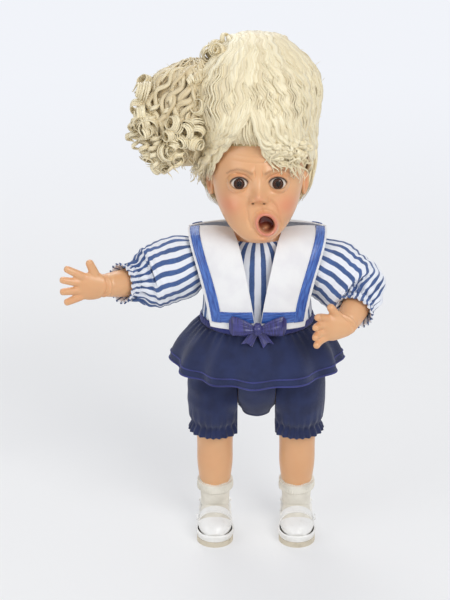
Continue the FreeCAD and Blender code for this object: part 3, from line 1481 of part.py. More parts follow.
os.makedirs("parts", exist_ok=True)
whole = FreeCAD.BoundBox()
for piece in PIECES:
    piece.Shape.exportStep(f"parts/{piece.Label}.step")
    whole.add(piece.Shape.BoundBox)
    print(f"{piece.Label}: {len(piece.Shape.Solids)} solid, {piece.Shape.Volume:.0f} mm3")
print(f"{len(PIECES)} nodes, box {whole}")
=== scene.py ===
import json
import logging
import math
from collections.abc import Callable
from dataclasses import dataclass, field
from enum import Enum

import bmesh
import bpy
import numpy as np
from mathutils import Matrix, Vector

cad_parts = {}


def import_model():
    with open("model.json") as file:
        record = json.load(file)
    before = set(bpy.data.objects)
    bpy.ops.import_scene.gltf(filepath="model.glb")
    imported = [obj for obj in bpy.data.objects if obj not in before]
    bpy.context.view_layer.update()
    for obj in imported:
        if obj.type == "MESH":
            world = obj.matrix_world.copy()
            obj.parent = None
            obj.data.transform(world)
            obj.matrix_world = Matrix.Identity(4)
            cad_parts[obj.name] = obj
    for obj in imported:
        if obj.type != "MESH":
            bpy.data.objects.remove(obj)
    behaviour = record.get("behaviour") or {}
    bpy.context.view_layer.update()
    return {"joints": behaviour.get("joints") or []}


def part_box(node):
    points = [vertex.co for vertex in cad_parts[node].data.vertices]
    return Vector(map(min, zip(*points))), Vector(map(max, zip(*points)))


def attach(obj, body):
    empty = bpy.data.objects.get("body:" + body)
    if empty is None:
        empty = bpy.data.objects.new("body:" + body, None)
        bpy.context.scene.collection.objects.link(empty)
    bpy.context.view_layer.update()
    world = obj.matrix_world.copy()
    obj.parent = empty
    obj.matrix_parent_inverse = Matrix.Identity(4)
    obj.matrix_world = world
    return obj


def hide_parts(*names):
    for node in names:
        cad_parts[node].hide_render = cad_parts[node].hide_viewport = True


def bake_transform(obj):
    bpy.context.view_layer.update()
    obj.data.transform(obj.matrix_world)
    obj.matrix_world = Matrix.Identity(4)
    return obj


LOG = logging.getLogger("doll")
Array = np.ndarray
Rng = np.random.Generator
Point = tuple[float, float, float]
Shade = tuple[int, int, int]
Material = bpy.types.Material
Form = Callable[..., Array]
METRE = 0.001
TAU = 2.0 * math.pi
UP = np.array([0.0, 0.0, 1.0])
WAYS = (-1.0, 1.0)


# Curves, profiles and surfaces


def xyz(*parts: Array | float) -> Array:
    """Points from their coordinates, each one number or a whole array."""
    return np.stack(np.broadcast_arrays(*parts), -1)


def shares(count: int) -> Array:
    """Even shares from 0 to 1."""
    return np.linspace(0.0, 1.0, count)


def circle(count: int) -> Array:
    """Even angles of one full turn."""
    return np.arange(count) * TAU / count


def spline_weights(poles: int, places: Array) -> Array:
    """Weights of a clamped cubic B-spline: each row says how far each control point pulls at one place.

    Args:
        poles: number of control points.
        places: places along the curve, from 0 to 1.

    Returns:
        One row of weights for each place.
    """
    knots = np.concatenate([np.zeros(3), np.arange(poles - 2), np.full(3, poles - 3)]).astype(float)
    t = np.clip(places, 0.0, 1.0 - 1e-9)[:, None] * (poles - 3)
    weights = ((t >= knots[:-1]) & (t < knots[1:])).astype(float)
    for degree in (1, 2, 3):
        low = knots[degree:-1] - knots[:-degree - 1]
        high = knots[degree + 1:] - knots[1:-degree]
        rise = (t - knots[:-degree - 1]) / np.where(low > 0, low, 1.0) * (low > 0)
        fall = (knots[degree + 1:] - t) / np.where(high > 0, high, 1.0) * (high > 0)
        weights = rise * weights[:, :-1] + fall * weights[:, 1:]
    return weights


def spline(poles: Array, places: int | Array) -> Array:
    """Points of clamped cubic B-splines at some places from 0 to 1, or at a number of even places."""
    places = shares(places) if isinstance(places, int) else places
    return np.einsum("np,...pk->...nk", spline_weights(poles.shape[-2], places), poles)


def through(points: Array, places: int | Array) -> Array:
    """Smooth curve that passes through points at even places: its control points c solve W c = points."""
    count = points.shape[-2]
    return spline(np.linalg.solve(spline_weights(count, shares(count)), points), places)


def surface_through(table: Array, down: int | Array, across: int | Array) -> Array:
    """Smooth surface through a table of points: curves through its rows, then through their columns."""
    return np.swapaxes(through(np.swapaxes(through(table, across), 0, 1), down), 0, 1)


def unit(vectors: Array) -> Array:
    """Vectors of length one, along the last axis."""
    return vectors / np.maximum(np.linalg.norm(vectors, axis=-1, keepdims=True), 1e-12)


def tangents(points: Array) -> Array:
    """Direction of travel at each point of each path."""
    return unit(np.gradient(points, axis=-2))


def sections(path: Array, side: Array) -> tuple[Array, Array, Array]:
    """Frame of each point of a path: its travel, over = travel x side, and beside = over x travel.

    Args:
        path: points of the path.
        side: direction that beside keeps close to.

    Returns:
        Travel, beside and over.
    """
    way = tangents(path)
    over = unit(np.cross(way, np.broadcast_to(side, path.shape)))
    return way, np.cross(over, way), over


def spread(stations: Array, number: int) -> Array:
    """Even places along a chain of points; each inner one is then (before + 2 here + after) / 4.

    Args:
        stations: points of the chain.
        number: number of places wanted.

    Returns:
        The places.
    """
    run = np.linalg.norm(np.diff(stations, axis=0), axis=1)
    reach = np.concatenate([[0.0], np.cumsum(run)])
    goal = np.linspace(0.0, reach[-1], number)
    even = xyz(*(np.interp(goal, reach, column) for column in stations.T))
    even[1:-1] = (even[:-2] + 2 * even[1:-1] + even[2:]) / 4
    return even


def grid_normals(points: Array, round_: bool) -> Array:
    """Direction square to a grid of points: the cross product of its two steps."""
    along = np.roll(points, -1, axis=-2) - np.roll(points, 1, axis=-2) if round_ else np.gradient(points, axis=-2)
    return unit(np.cross(along, np.gradient(points, axis=-3)))


def smooth_step(value: Array, low: float, high: float) -> Array:
    """0 below low, 1 above high, and a smooth rise between: 3t^2 - 2t^3."""
    t = np.clip((value - low) / (high - low), 0.0, 1.0)
    return t * t * (3.0 - 2.0 * t)


def bell(value: Array, middle: float, wide: float) -> Array:
    """Bell curve: exp(-((value - middle) / wide)^2)."""
    return np.exp(-(((value - middle) / wide) ** 2))


def hill(x: Array, z: Array, x0: float, z0: float, wide: float, tall: float) -> Array:
    """Bell-shaped bump: exp(-((x-x0)/wide)^2 - ((z-z0)/tall)^2)."""
    return np.exp(-(((x - x0) / wide) ** 2) - ((z - z0) / tall) ** 2)


def near_path(x: Array, z: Array, path: Array) -> Array:
    """Distance of every place to a chain of points in the same plane.

    Args:
        x: sideways places.
        z: heights.
        path: points of the chain, one (x, z) in each row.

    Returns:
        The shortest distance to any run of the chain.
    """
    best = np.full(x.shape, np.inf)
    for start, end in zip(path, path[1:]):
        run = end - start
        share = np.clip(((x - start[0]) * run[0] + (z - start[1]) * run[1]) / run.dot(run), 0.0, 1.0)
        best = np.minimum(best, np.hypot(x - start[0] - share * run[0], z - start[1] - share * run[1]))
    return best


def ripple(u: Array, v: Array, seed: int, waves: int = 6) -> Array:
    """Smooth unevenness: the mean of a few sine waves that run in seeded directions.

    Args:
        u: first parameter.
        v: second parameter.
        seed: seed of the directions.
        waves: number of sine waves.

    Returns:
        Values from about -1 to 1.
    """
    rng = np.random.default_rng(seed)
    total = 0.0
    for _ in range(waves):
        way, pitch = rng.uniform(0.0, TAU), rng.uniform(0.6, 1.6) * TAU
        total = total + np.sin(pitch * (u * math.cos(way) + v * math.sin(way)) + rng.uniform(0.0, TAU))
    return total / waves


@dataclass(frozen=True)
class Profile:
    """Reaches of a form at each height, from control rows of a smooth band."""

    rows: tuple[tuple[float, ...], ...]

    def at(self, height: Array) -> tuple[Array, ...]:
        """Values of every column but the first, which is the height."""
        heights, *reaches = spline(np.array(self.rows), 400).T
        return tuple(np.interp(height, heights, reach) for reach in reaches)


@dataclass(frozen=True)
class Stance:
    """Place of the figure's own frame in the model, read from the neck's joint."""

    origin: Point
    head_forward: float = 3.0
    head_seat: float = 277.6
    head_pitch: float = -10.0

    def place(self, points: Array) -> Array:
        """Points of the figure's frame, in millimetres, as metres of the model."""
        return points * METRE + np.array(self.origin)

    def head(self, points: Array) -> Array:
        """Points of the tipped head's frame as points of the figure's frame, in millimetres.

        Args:
            points: points of the head's frame, in millimetres.

        Returns:
            The same points of the figure's frame.
        """
        turn = math.radians(self.head_pitch)
        y = points[..., 1] * math.cos(turn) - points[..., 2] * math.sin(turn) - self.head_forward
        z = points[..., 1] * math.sin(turn) + points[..., 2] * math.cos(turn) + self.head_seat
        return xyz(points[..., 0], y, z)


@dataclass
class Patch:
    """Grid of points, or a stack of like grids, with its own map and painted values."""

    points: Array
    round: bool = True
    flip: bool = False
    uv: Array | None = None
    paint: dict[str, Array | float] = field(default_factory=dict)
    keep: Array | None = None

    def faces(self) -> tuple[Array, Array]:
        """Corners of the four-sided faces of every grid, and the same corners on its map.

        Returns:
            Indices into the points, and indices into the places of the map.
        """
        *stack, rows, columns, _ = self.points.shape
        wide = columns if self.round else columns - 1
        row, column = np.meshgrid(np.arange(rows - 1), np.arange(wide), indexing="ij")
        found = []
        for step, after in ((columns, (column + 1) % columns), (columns + self.round, column + 1)):
            quads = xyz(row * step + column, row * step + after, (row + 1) * step + after,
                        (row + 1) * step + column)
            if self.keep is not None:
                quads = quads[self.keep[:rows - 1, :wide]]
            grids = np.arange(math.prod(stack))[:, None, None] * rows * step
            found.append((quads.reshape(1, -1, 4) + grids).reshape(-1, 4)[:, ::-1 if self.flip else 1])
        return found[0], found[1]

    def places(self) -> Array:
        """Places of the map, as one list: even ones where the patch has no map of its own."""
        *stack, rows, columns, _ = self.points.shape
        last = columns if self.round else columns - 1
        grid = xyz(np.arange(last + 1) / max(last, 1), shares(rows)[:, None]) if self.uv is None else self.uv
        return np.broadcast_to(grid, (*stack, *grid.shape[-3:])).reshape(-1, 2)


def show(name: str, data: bpy.types.ID) -> bpy.types.Object:
    """Object of that mesh, lamp or camera, linked into the scene.

    Args:
        name: name of the object.
        data: what it shows.

    Returns:
        The object.
    """
    made = bpy.data.objects.new(name, data)
    bpy.context.scene.collection.objects.link(made)
    return made


class Piece:
    """One finished mesh of the doll, gathered from patches."""

    def __init__(self, name: str, stance: Stance, *patches: Patch) -> None:
        """Gather the patches, grids of points in the frame of a stance, under a name."""
        self.name, self.stance, self.patches = name, stance, patches

    def build(self, material: Material, body: str, slot: str, *nodes: str) -> bpy.types.Object:
        """Make the mesh, dress it and hang it on its body.

        Args:
            material: finish of the piece.
            body: body that it rides on, or nothing to leave it unattached.
            slot: not used.
            nodes: nodes that it stands for.

        Returns:
            The new object.
        """
        points, corners, maps = [], [], []
        names = sorted({name for patch in self.patches for name in patch.paint})
        paints: dict[str, list[Array]] = {name: [] for name in names}
        base = 0
        for patch in self.patches:
            quads, mapped = patch.faces()
            points.append(patch.points.reshape(-1, 3))
            corners.append(quads + base)
            maps.append(patch.places()[mapped.ravel()])
            for name in names:
                layer = np.broadcast_to(patch.paint.get(name, 0.0), patch.points.shape[:-1])
                paints[name].append(layer.ravel())
            base += len(points[-1])
        mesh = self._mesh(np.concatenate(points), np.concatenate(corners), np.concatenate(maps))
        for name, layers in paints.items():
            attribute = mesh.attributes.new(name, "FLOAT", "POINT")
            attribute.data.foreach_set("value", np.concatenate(layers).astype(np.float32))
        mesh.update(calc_edges=True)
        mesh.validate(clean_customdata=False)
        made = show(self.name, mesh)
        mesh.materials.append(material)
        tidy_mesh(made)
        if nodes:
            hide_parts(*nodes)
        if body:
            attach(made, body)
        LOG.info("%s: %d faces", self.name, len(mesh.polygons))
        return made

    def _mesh(self, points: Array, quads: Array, uv: Array) -> bpy.types.Mesh:
        """Put the gathered arrays into a new mesh.

        Args:
            points: points of the figure's frame.
            quads: corners of each face.
            uv: place on the map for each corner.

        Returns:
            The mesh.
        """
        mesh = bpy.data.meshes.new(self.name)
        mesh.vertices.add(len(points))
        mesh.vertices.foreach_set("co", self.stance.place(points).astype(np.float32).ravel())
        mesh.loops.add(quads.size)
        mesh.loops.foreach_set("vertex_index", quads.astype(np.int32).ravel())
        mesh.polygons.add(len(quads))
        mesh.polygons.foreach_set("loop_start", np.arange(0, quads.size, 4, dtype=np.int32))
        mesh.polygons.foreach_set("use_smooth", np.ones(len(quads), dtype=bool))
        mesh.uv_layers.new(name="UVMap").data.foreach_set("uv", uv.astype(np.float32).ravel())
        return mesh


def tidy_mesh(made: bpy.types.Object, near: float = 1e-6) -> None:
    """Merge doubled points and drop the faces that they leave without area.

    Args:
        made: object whose mesh is tidied.
        near: distance in metres at which points are one.
    """
    work = bmesh.new()
    work.from_mesh(made.data)
    bmesh.ops.remove_doubles(work, verts=work.verts, dist=near)
    bmesh.ops.dissolve_degenerate(work, edges=work.edges, dist=1e-7)
    loose = [vert for vert in work.verts if not vert.link_faces]
    bmesh.ops.delete(work, geom=loose, context="VERTS")
    work.to_mesh(made.data)
    work.free()


def close_rows(points: Array) -> Array:
    """Band of rings with a ring at the middle of its first and its last one, which closes it."""
    middle = np.repeat(points.mean(axis=-2, keepdims=True), points.shape[-2], axis=-2)
    return np.concatenate([middle[..., :1, :, :], points, middle[..., -1:, :, :]], axis=-3)


def double_wall(outside: Array, thick: float, uv: Array) -> Patch:
    """Closed wall of a round band: outside, then back along the inside, pinched at both edges.

    Args:
        outside: rings of points, counter-clockwise about the way that the rows run.
        thick: thickness of the wall.
        uv: map of the band.

    Returns:
        The outer rows, then the inner ones in reverse order.
    """
    depth = np.full(len(outside), thick)
    depth[0] = depth[-1] = 0.0
    inner = outside - grid_normals(outside, True) * depth[:, None, None]
    return Patch(np.concatenate([outside, inner[-2::-1]]), uv=np.concatenate([uv, uv[-2::-1]]))


def sheet_wall(surface: Array, low: float, high: float, uv: Array, flip: bool = False) -> Patch:
    """Closed thin sheet over an open grid: its upper side, then its lower side, pinched all round.

    Args:
        surface: grid of points.
        low: distance of the lower side above the grid, along its direction.
        high: distance of the upper side.
        uv: map of the grid.
        flip: turn the faces round.

    Returns:
        Rings of points, twice as many columns as the grid less two.
    """
    half = np.full(surface.shape[:2] + (1,), (high - low) / 2)
    half[0], half[-1], half[:, 0], half[:, -1] = 0.0, 0.0, 0.0, 0.0
    out = grid_normals(surface, False)
    middle = surface + out * (low + high) / 2
    rings = np.concatenate([middle + out * half, (middle - out * half)[:, -2:0:-1]], axis=1)
    return Patch(rings, uv=np.concatenate([uv, uv[:, -2::-1]], axis=1), flip=flip)


def band(path: Array, radius: Array, side: Array, first: Array | None = None) -> Array:
    """Rings square to a path: centre + radius * (beside * cos(a) + over * sin(a)).

    On the inside of a bend the radius stays below a share of the bend's own, as cloth does.

    Args:
        path: centres of the rings.
        radius: radius at each point of each ring.
        side: direction that the angle starts from.
        first: direction that the first ring is square to, if not the path's.

    Returns:
        A grid of points.
    """
    way = tangents(path)
    if first is not None:
        way[0] = unit(first)
    over = unit(np.cross(way, side))
    beside = np.cross(over, way)
    a = circle(radius.shape[1])[:, None]
    arm = radius[..., None] * (beside[:, None] * np.cos(a) + over[:, None] * np.sin(a))
    turn = np.gradient(way, axis=0) / np.linalg.norm(np.gradient(path, axis=0), axis=-1)[:, None]
    sharp = np.maximum(np.linalg.norm(turn, axis=-1), 1e-9)
    inwards = np.einsum("rck,rk->rc", arm, turn / sharp[:, None])
    limit = (0.82 / sharp)[:, None]
    scale = np.where(inwards > limit, limit / np.maximum(inwards, 1e-9), 1.0)
    return path[:, None] + arm * scale[..., None]


def locks(path: Array, out: Array, wide: Array, thick: float, rng: Rng, sides: int = 8,
          tint: Array | float = 0.0, root: float = 0.12, tip: float = 0.3, groove: float = 0.1) -> Patch:
    """Locks of hair along many paths: flat ovals with grooves, tapered at both ends.

    A ring is centre + beside * wide * cos(s) + over * thick * sin(s), times 1 + groove * cos(3 s + phase).

    Args:
        path: points of each lock's path.
        out: direction away from the head at each point.
        wide: half width of each lock.
        thick: half thickness.
        rng: source of the small differences.
        sides: points round a ring.
        tint: how dark each lock is, from 0 to 1: the lock's random tone together with any painted shade.
        root: share of the length that widens at the root.
        tip: share of the length that narrows to the tip.
        groove: depth of the grooves.

    Returns:
        One patch that holds every lock.
    """
    count, rows = path.shape[:2]
    u = shares(rows)
    taper = (0.35 + 0.65 * smooth_step(u, 0.0, root)) * (1.0 - 0.88 * smooth_step(u, 1.0 - tip, 1.0))
    way = tangents(path)
    beside = unit(np.cross(out, way))
    over = np.cross(way, beside)
    s = circle(sides)
    swell = (1.0 + groove * np.cos(3 * s + rng.uniform(0.0, TAU, (count, 1, 1)))) * taper[None, :, None]
    across = swell * np.cos(s) * np.broadcast_to(wide, (count,))[:, None, None]
    depth = swell * np.sin(s) * thick
    rings = path[:, :, None] + beside[:, :, None] * across[..., None] + over[:, :, None] * depth[..., None]
    uv = xyz(np.arange(sides + 1) / sides, shares(rows + 2)[:, None]) + rng.uniform(0.0, 50.0, (count, 1, 1, 2))
    return Patch(close_rows(rings), uv=uv, paint={"tint": np.broadcast_to(tint, (count,))[:, None, None]})


def curl(axis: Array, radius: Array, turns: Array, start: Array, side: Array) -> tuple[Array, Array]:
    """Helices about many paths: centre + radius * (beside * cos(t) + over * sin(t)).

    Args:
        axis: points of each curl's middle line.
        radius: radius at each point of each curl.
        turns: number of turns of each curl.
        start: angle at which each curl starts.
        side: direction that the angle is measured from.

    Returns:
        Points of the helices, and their direction away from the middle line.
    """
    _, beside, over = sections(axis, side)
    t = start[:, None] + TAU * turns[:, None] * shares(axis.shape[1])
    out = beside * np.cos(t)[..., None] + over * np.sin(t)[..., None]
    return axis + out * radius[..., None], out


def tube(path: Array, wide: Array, thick: Array, side: Array, sides: int = 16) -> Array:
    """Rings along a path: centre + beside * wide * cos(s) + over * thick * sin(s), closed at both ends.

    Args:
        path: points of the path.
        wide: half width at each point, along side.
        thick: half thickness at each point, across it.
        side: direction of the width, one for all points or one for each.
        sides: points round a ring.

    Returns:
        A grid of rings.
    """
    _, beside, over = sections(path, side)
    s = circle(sides)
    rings = (path[:, None] + beside[:, None] * (wide[:, None] * np.cos(s))[..., None]
             + over[:, None] * (thick[:, None] * np.sin(s))[..., None])
    return close_rows(rings)


# Finishes


def colour(red: int, green: int, blue: int) -> tuple[float, float, float, float]:
    """Colour for a shader from the usual 0 to 255 numbers of a screen.

    Args:
        red: red part.
        green: green part.
        blue: blue part.

    Returns:
        The linear colour, with alpha.
    """
    def level(value: int) -> float:
        """One channel, undone from screen gamma."""
        share = value / 255.0
        return share / 12.92 if share <= 0.04045 else ((share + 0.055) / 1.055) ** 2.4
    return level(red), level(green), level(blue), 1.0


class Graph:
    """Small builder for the nodes of one material."""

    def __init__(self, name: str) -> None:
        """Start a material of that name with an empty principled shader.

        Args:
            name: name of the material.
        """
        self.material = bpy.data.materials.new(name)
        self.material.use_nodes = True
        self.tree = self.material.node_tree
        self.tree.nodes.clear()
        self.output = self.tree.nodes.new("ShaderNodeOutputMaterial")
        self.shader = self.node("ShaderNodeBsdfPrincipled")
        self.tree.links.new(self.shader.outputs[0], self.output.inputs[0])

    def _put(self, made: bpy.types.Node, inputs: dict[str | int, object]) -> None:
        """Set or link the inputs of a node; a colour of three whole numbers is turned into a shader's.

        Args:
            made: the node.
            inputs: values or sockets by name or number.
        """
        for name, value in inputs.items():
            if isinstance(value, bpy.types.NodeSocket):
                self.tree.links.new(value, made.inputs[name])
            elif value is not None:
                whole = isinstance(value, tuple) and all(isinstance(part, int) for part in value)
                made.inputs[name].default_value = colour(*value) if whole else value

    def node(self, kind: str, inputs: dict[str | int, object] | None = None, **members: object) -> bpy.types.Node:
        """Add a node.

        Args:
            kind: type of the node.
            inputs: value or output for each input, by name or number.
            members: properties of the node.

        Returns:
            The node.
        """
        made = self.tree.nodes.new(kind)
        for name, value in members.items():
            setattr(made, name, value)
        self._put(made, inputs or {})
        return made

    def maths(self, operation: str, first: object, second: object = 0.0, third: object = 0.0) -> object:
        """Output of a Math node."""
        return self.node("ShaderNodeMath", {0: first, 1: second, 2: third}, operation=operation).outputs[0]

    def mix(self, share: object, low: object, high: object) -> object:
        """Colour between low, at share 0, and high, at share 1."""
        return self.node("ShaderNodeMix", {0: share, 6: low, 7: high}, data_type="RGBA").outputs[2]

    def place(self, scale: Point = (1.0, 1.0, 1.0), uv: bool = False) -> object:
        """Object coordinates, or those of the piece's own map, scaled."""
        source = self.node("ShaderNodeTexCoord").outputs["UV" if uv else "Object"]
        return self.node("ShaderNodeMapping", {"Vector": source, "Scale": scale}).outputs[0]

    def split(self, where: object) -> list[object]:
        """The three coordinates of a place."""
        return list(self.node("ShaderNodeSeparateXYZ", {0: where}).outputs)

    def noise(self, where: object, scale: float, detail: float = 3.0, rough: float = 0.5) -> object:
        """Output of a Noise node, from 0 to 1."""
        return self.node("ShaderNodeTexNoise", {"Vector": where, "Scale": scale, "Detail": detail,
                                                "Roughness": rough}).outputs[0]

    def ramp(self, value: object, low: float, high: float) -> object:
        """Smooth rise of a value from 0 at low to 1 at high."""
        return self.node("ShaderNodeMapRange", {"Value": value, "From Min": low, "From Max": high},
                         interpolation_type="SMOOTHSTEP").outputs[0]

    def attribute(self, name: str) -> object:
        """Painted value of that name."""
        return self.node("ShaderNodeAttribute", attribute_name=name).outputs["Fac"]

    def bump(self, height: object, strength: float, distance: float, onto: object = None) -> object:
        """Normal of a surface that height bumps by distance metres, above a coarser bump if one is given."""
        return self.node("ShaderNodeBump", {"Height": height, "Strength": strength, "Distance": distance,
                                            "Normal": onto}).outputs[0]

    def blend(self, share: object, first: bpy.types.Node, second: bpy.types.Node) -> Material:
        """Show the first shader at share 0 and the second at share 1, and hand over the material.

        Args:
            share: value or socket from 0 to 1.
            first: shader at 0.
            second: shader at 1.

        Returns:
            The material.
        """
        mixed = self.node("ShaderNodeMixShader", {0: share, 1: first.outputs[0], 2: second.outputs[0]})
        self.tree.links.new(mixed.outputs[0], self.output.inputs[0])
        return self.material

    def finish(self, tone: object, rough: object, normal: object = None, **inputs: object) -> Material:
        """Set the shader's inputs and hand over the material.

        Args:
            tone: base colour.
            rough: roughness.
            normal: bumped normal.
            inputs: value or output for each other input, with underscores for spaces.

        Returns:
            The material.
        """
        self._put(self.shader, {"Base Color": tone, "Roughness": rough, "Normal": normal})
        self._put(self.shader, {name.replace("_", " "): value for name, value in inputs.items()})
        return self.material


@dataclass(frozen=True)
class SkinVinyl:
    """Soft matt vinyl with painted cheeks, lips, brows and lash lines, and painted shade in creases and hollows."""

    base: Shade = (226, 174, 128)
    warm: Shade = (206, 142, 96)
    rose: Shade = (222, 132, 100)
    lip: Shade = (212, 124, 106)
    brow: Shade = (118, 74, 42)
    dark: Shade = (40, 20, 12)
    mouth: Shade = (112, 26, 20)

    def make(self, name: str, painted: bool) -> Material:
        """Build the material, with the face's painted layers or without.

        Args:
            name: name of the material.
            painted: it shows the face's painted layers.

        Returns:
            The material.
        """
        graph = Graph(name)
        where = graph.place()
        broad = graph.ramp(graph.noise(where, 28.0), 0.3, 0.7)
        tone = graph.mix(0.72, graph.mix(broad, self.base, self.warm), self.base)
        rough = 0.36
        if painted:
            # The fold layer is painted shade, a darker skin tone round the lips and in the ears; the lash layer also
            # holds painted shade in the nostrils.
            for layer, shade in (("blush", self.rose), ("fold", self.warm), ("lip", self.lip),
                                 ("inside", self.mouth), ("brow", self.brow), ("lash", self.dark)):
                tone = graph.mix(graph.attribute(layer), tone, shade)
            rough = graph.maths("MULTIPLY_ADD", graph.attribute("wet"), -0.22, rough)
        pores = graph.bump(graph.noise(where, 420.0), 0.12, 0.0004)
        normal = graph.bump(graph.noise(where, 1600.0, 2.0), 0.10, 0.0002, pores)
        return graph.finish(tone, rough, normal, Subsurface_Weight=0.12, Subsurface_Radius=(0.012, 0.005, 0.003),
                            Subsurface_Scale=0.25, Specular_IOR_Level=0.45, Coat_Weight=0.22,
                            Coat_Roughness=0.24)


@dataclass(frozen=True)
class HairFibre:
    """Pale blond fibre in fine streaks along each lock, darker where a lock carries painted shade."""

    pale: Shade = (254, 246, 218)
    mid: Shade = (243, 227, 184)
    deep: Shade = (178, 147, 94)

    def make(self, name: str) -> Material:
        """Build the material: streaks follow the map, whose first axis runs round a lock.

        Args:
            name: name of the material.

        Returns:
            The material.
        """
        graph = Graph(name)
        streak = graph.noise(graph.place((1.0, 0.02, 1.0), uv=True), 26.0, 6.0, 0.62)
        soft = graph.noise(graph.place((1.0, 0.05, 1.0), uv=True), 7.0)
        tone = graph.mix(graph.ramp(streak, 0.34, 0.66), self.mid, self.pale)
        tone = graph.mix(graph.maths("MULTIPLY", graph.ramp(soft, 0.5, 0.8), 0.35), tone, self.deep)
        # Random tone and painted shade: locks darken towards the deep colour by their painted value.
        tone = graph.mix(graph.maths("MULTIPLY", graph.attribute("tint"), 0.55), tone, self.deep)
        return graph.finish(tone, 0.36, graph.bump(streak, 0.5, 0.0008), Specular_IOR_Level=0.5,
                            Sheen_Weight=0.2, Sheen_Roughness=0.4)


class Cloth(Enum):
    """Kinds of woven cloth on the dress, with their two colours."""

    STRIPED = ((240, 243, 250), (52, 82, 142))
    NAVY = ((34, 46, 88), (24, 34, 70))
    WHITE = ((243, 243, 243), (236, 235, 237))
    PIPING = ((56, 62, 132), (42, 46, 104))
    NET = ((214, 196, 150), (190, 170, 124))
    KNIT = ((240, 235, 222), (216, 210, 196))


@dataclass(frozen=True)
class WovenCloth:
    """Woven cotton whose map is in metres: stripes run along the second axis of the map."""

    cloth: Cloth
    thread: float = 0.00045
    period: float = 0.0088
    share: float = 0.46

    def make(self, name: str) -> Material:
        """Build the material: weave from two crossed waves, and stripes where the cloth is striped.

        Args:
            name: name of the material.

        Returns:
            The material.
        """
        graph = Graph(name)
        light, dark = self.cloth.value
        across = graph.split(graph.place(uv=True))
        where = graph.place()
        if self.cloth is Cloth.STRIPED:
            wander = graph.maths("MULTIPLY_ADD", graph.noise(where, 160.0, 2.0), 0.10, -0.05)
            turns = graph.maths("ADD", graph.maths("DIVIDE", across[0], self.period), wander)
            edge = 0.5 - self.share / 2
            stripe = graph.ramp(graph.maths("PINGPONG", turns, 0.5), edge - 0.035, edge + 0.035)
            ink = graph.mix(graph.ramp(graph.noise(where, 60.0, 2.0), 0.3, 0.75), dark, (34, 52, 100))
            ink = graph.mix(graph.maths("MULTIPLY", graph.noise(where, 900.0, 2.0), 0.5), ink, (108, 140, 190))
            tone = graph.mix(stripe, light, ink)
        else:
            tone = graph.mix(graph.ramp(graph.noise(where, 70.0), 0.3, 0.75), light, dark)
        waves = [graph.maths("SINE", graph.maths("MULTIPLY", axis, TAU / self.thread)) for axis in across[:2]]
        weave = graph.maths("MULTIPLY", *waves)
        slub = graph.bump(graph.noise(where, 240.0, 4.0), 0.25, 0.0006)
        tone = graph.mix(graph.maths("MULTIPLY_ADD", weave, 0.03, 0.03), tone, (150, 150, 165))
        return graph.finish(tone, 0.86, graph.bump(weave, 0.35, 0.00012, slub), Sheen_Weight=0.22,
                            Sheen_Roughness=0.5, Specular_IOR_Level=0.25)


@dataclass(frozen=True)
class Satin:
    """Satin ribbon: glossy across its warp, with fine ribs across its width, and painted sheen in light and dark
    streaks along it.
    """

    light: Shade = (74, 118, 196)
    dark: Shade = (36, 66, 142)

    def make(self, name: str) -> Material:
        """Build the material.

        Args:
            name: name of the material.

        Returns:
            The material.
        """
        graph = Graph(name)
        across = graph.split(graph.place(uv=True))
        ribs = graph.maths("SINE", graph.maths("MULTIPLY", across[1], TAU / 0.0004))
        painted_sheen = graph.noise(graph.place((1.0, 0.12, 1.0), uv=True), 900.0)
        # Painted sheen: light and dark streaks along the ribbon.
        tone = graph.mix(graph.ramp(painted_sheen, 0.3, 0.7), self.dark, self.light)
        normal = graph.bump(ribs, 0.18, 0.00008, graph.bump(painted_sheen, 0.2, 0.0002))
        return graph.finish(tone, 0.30, normal, Specular_IOR_Level=0.6, Sheen_Weight=0.35,
                            Sheen_Roughness=0.3, Anisotropic=0.5)


@dataclass(frozen=True)
class MouldedVinyl:
    """Harder moulded plastic or rubber of one colour, a little uneven and scuffed."""

    base: Shade
    worn: Shade
    rough: float = 0.3

    def make(self, name: str) -> Material:
        """Build the material.

        Args:
            name: name of the material.

        Returns:
            The material.
        """
        graph = Graph(name)
        where = graph.place()
        scuff = graph.ramp(graph.noise(where, 90.0, 5.0, 0.65), 0.5, 0.8)
        return graph.finish(graph.mix(scuff, self.base, self.worn),
                            graph.maths("MULTIPLY_ADD", scuff, 0.18, self.rough),
                            graph.bump(graph.noise(where, 900.0), 0.12, 0.0003), Specular_IOR_Level=0.5)


@dataclass(frozen=True)
class Iris:
    """Brown disc with a black pupil, fine rays and a dark rim, centred on one eye."""

    centre: Point
    pitch: float
    radius: float = 0.0045

    def make(self, name: str) -> Material:
        """Build the material: rays turn round the line of sight.

        Args:
            name: name of the material.

        Returns:
            The material.
        """
        graph = Graph(name)
        source = graph.node("ShaderNodeTexCoord").outputs["Object"]
        at = graph.node("ShaderNodeVectorMath", {0: source, 1: self.centre}, operation="SUBTRACT").outputs[0]
        tilt = graph.node("ShaderNodeMapping", {"Vector": at, "Rotation": (-self.pitch, 0.0, 0.0)}).outputs[0]
        x, _, z = graph.split(tilt)
        square = graph.maths("ADD", graph.maths("MULTIPLY", x, x), graph.maths("MULTIPLY", z, z))
        reach = graph.maths("DIVIDE", graph.maths("SQRT", square), self.radius)
        round_ = graph.maths("MULTIPLY", graph.maths("ARCTAN2", z, x), 5.0)
        turned = graph.node("ShaderNodeCombineXYZ", {0: round_, 1: graph.maths("MULTIPLY", reach, 0.8)})
        rays = graph.noise(turned.outputs[0], 3.0, 4.0, 0.7)
        tone = graph.mix(graph.ramp(rays, 0.3, 0.7), (52, 25, 10), (112, 62, 28))
        tone = graph.mix(graph.ramp(reach, 0.62, 0.98), tone, (26, 12, 8))
        tone = graph.mix(graph.ramp(reach, 0.46, 0.38), tone, (8, 5, 5))
        return graph.finish(tone, 0.3, Specular_IOR_Level=0.25, Coat_Weight=0.15, Coat_Roughness=0.03)


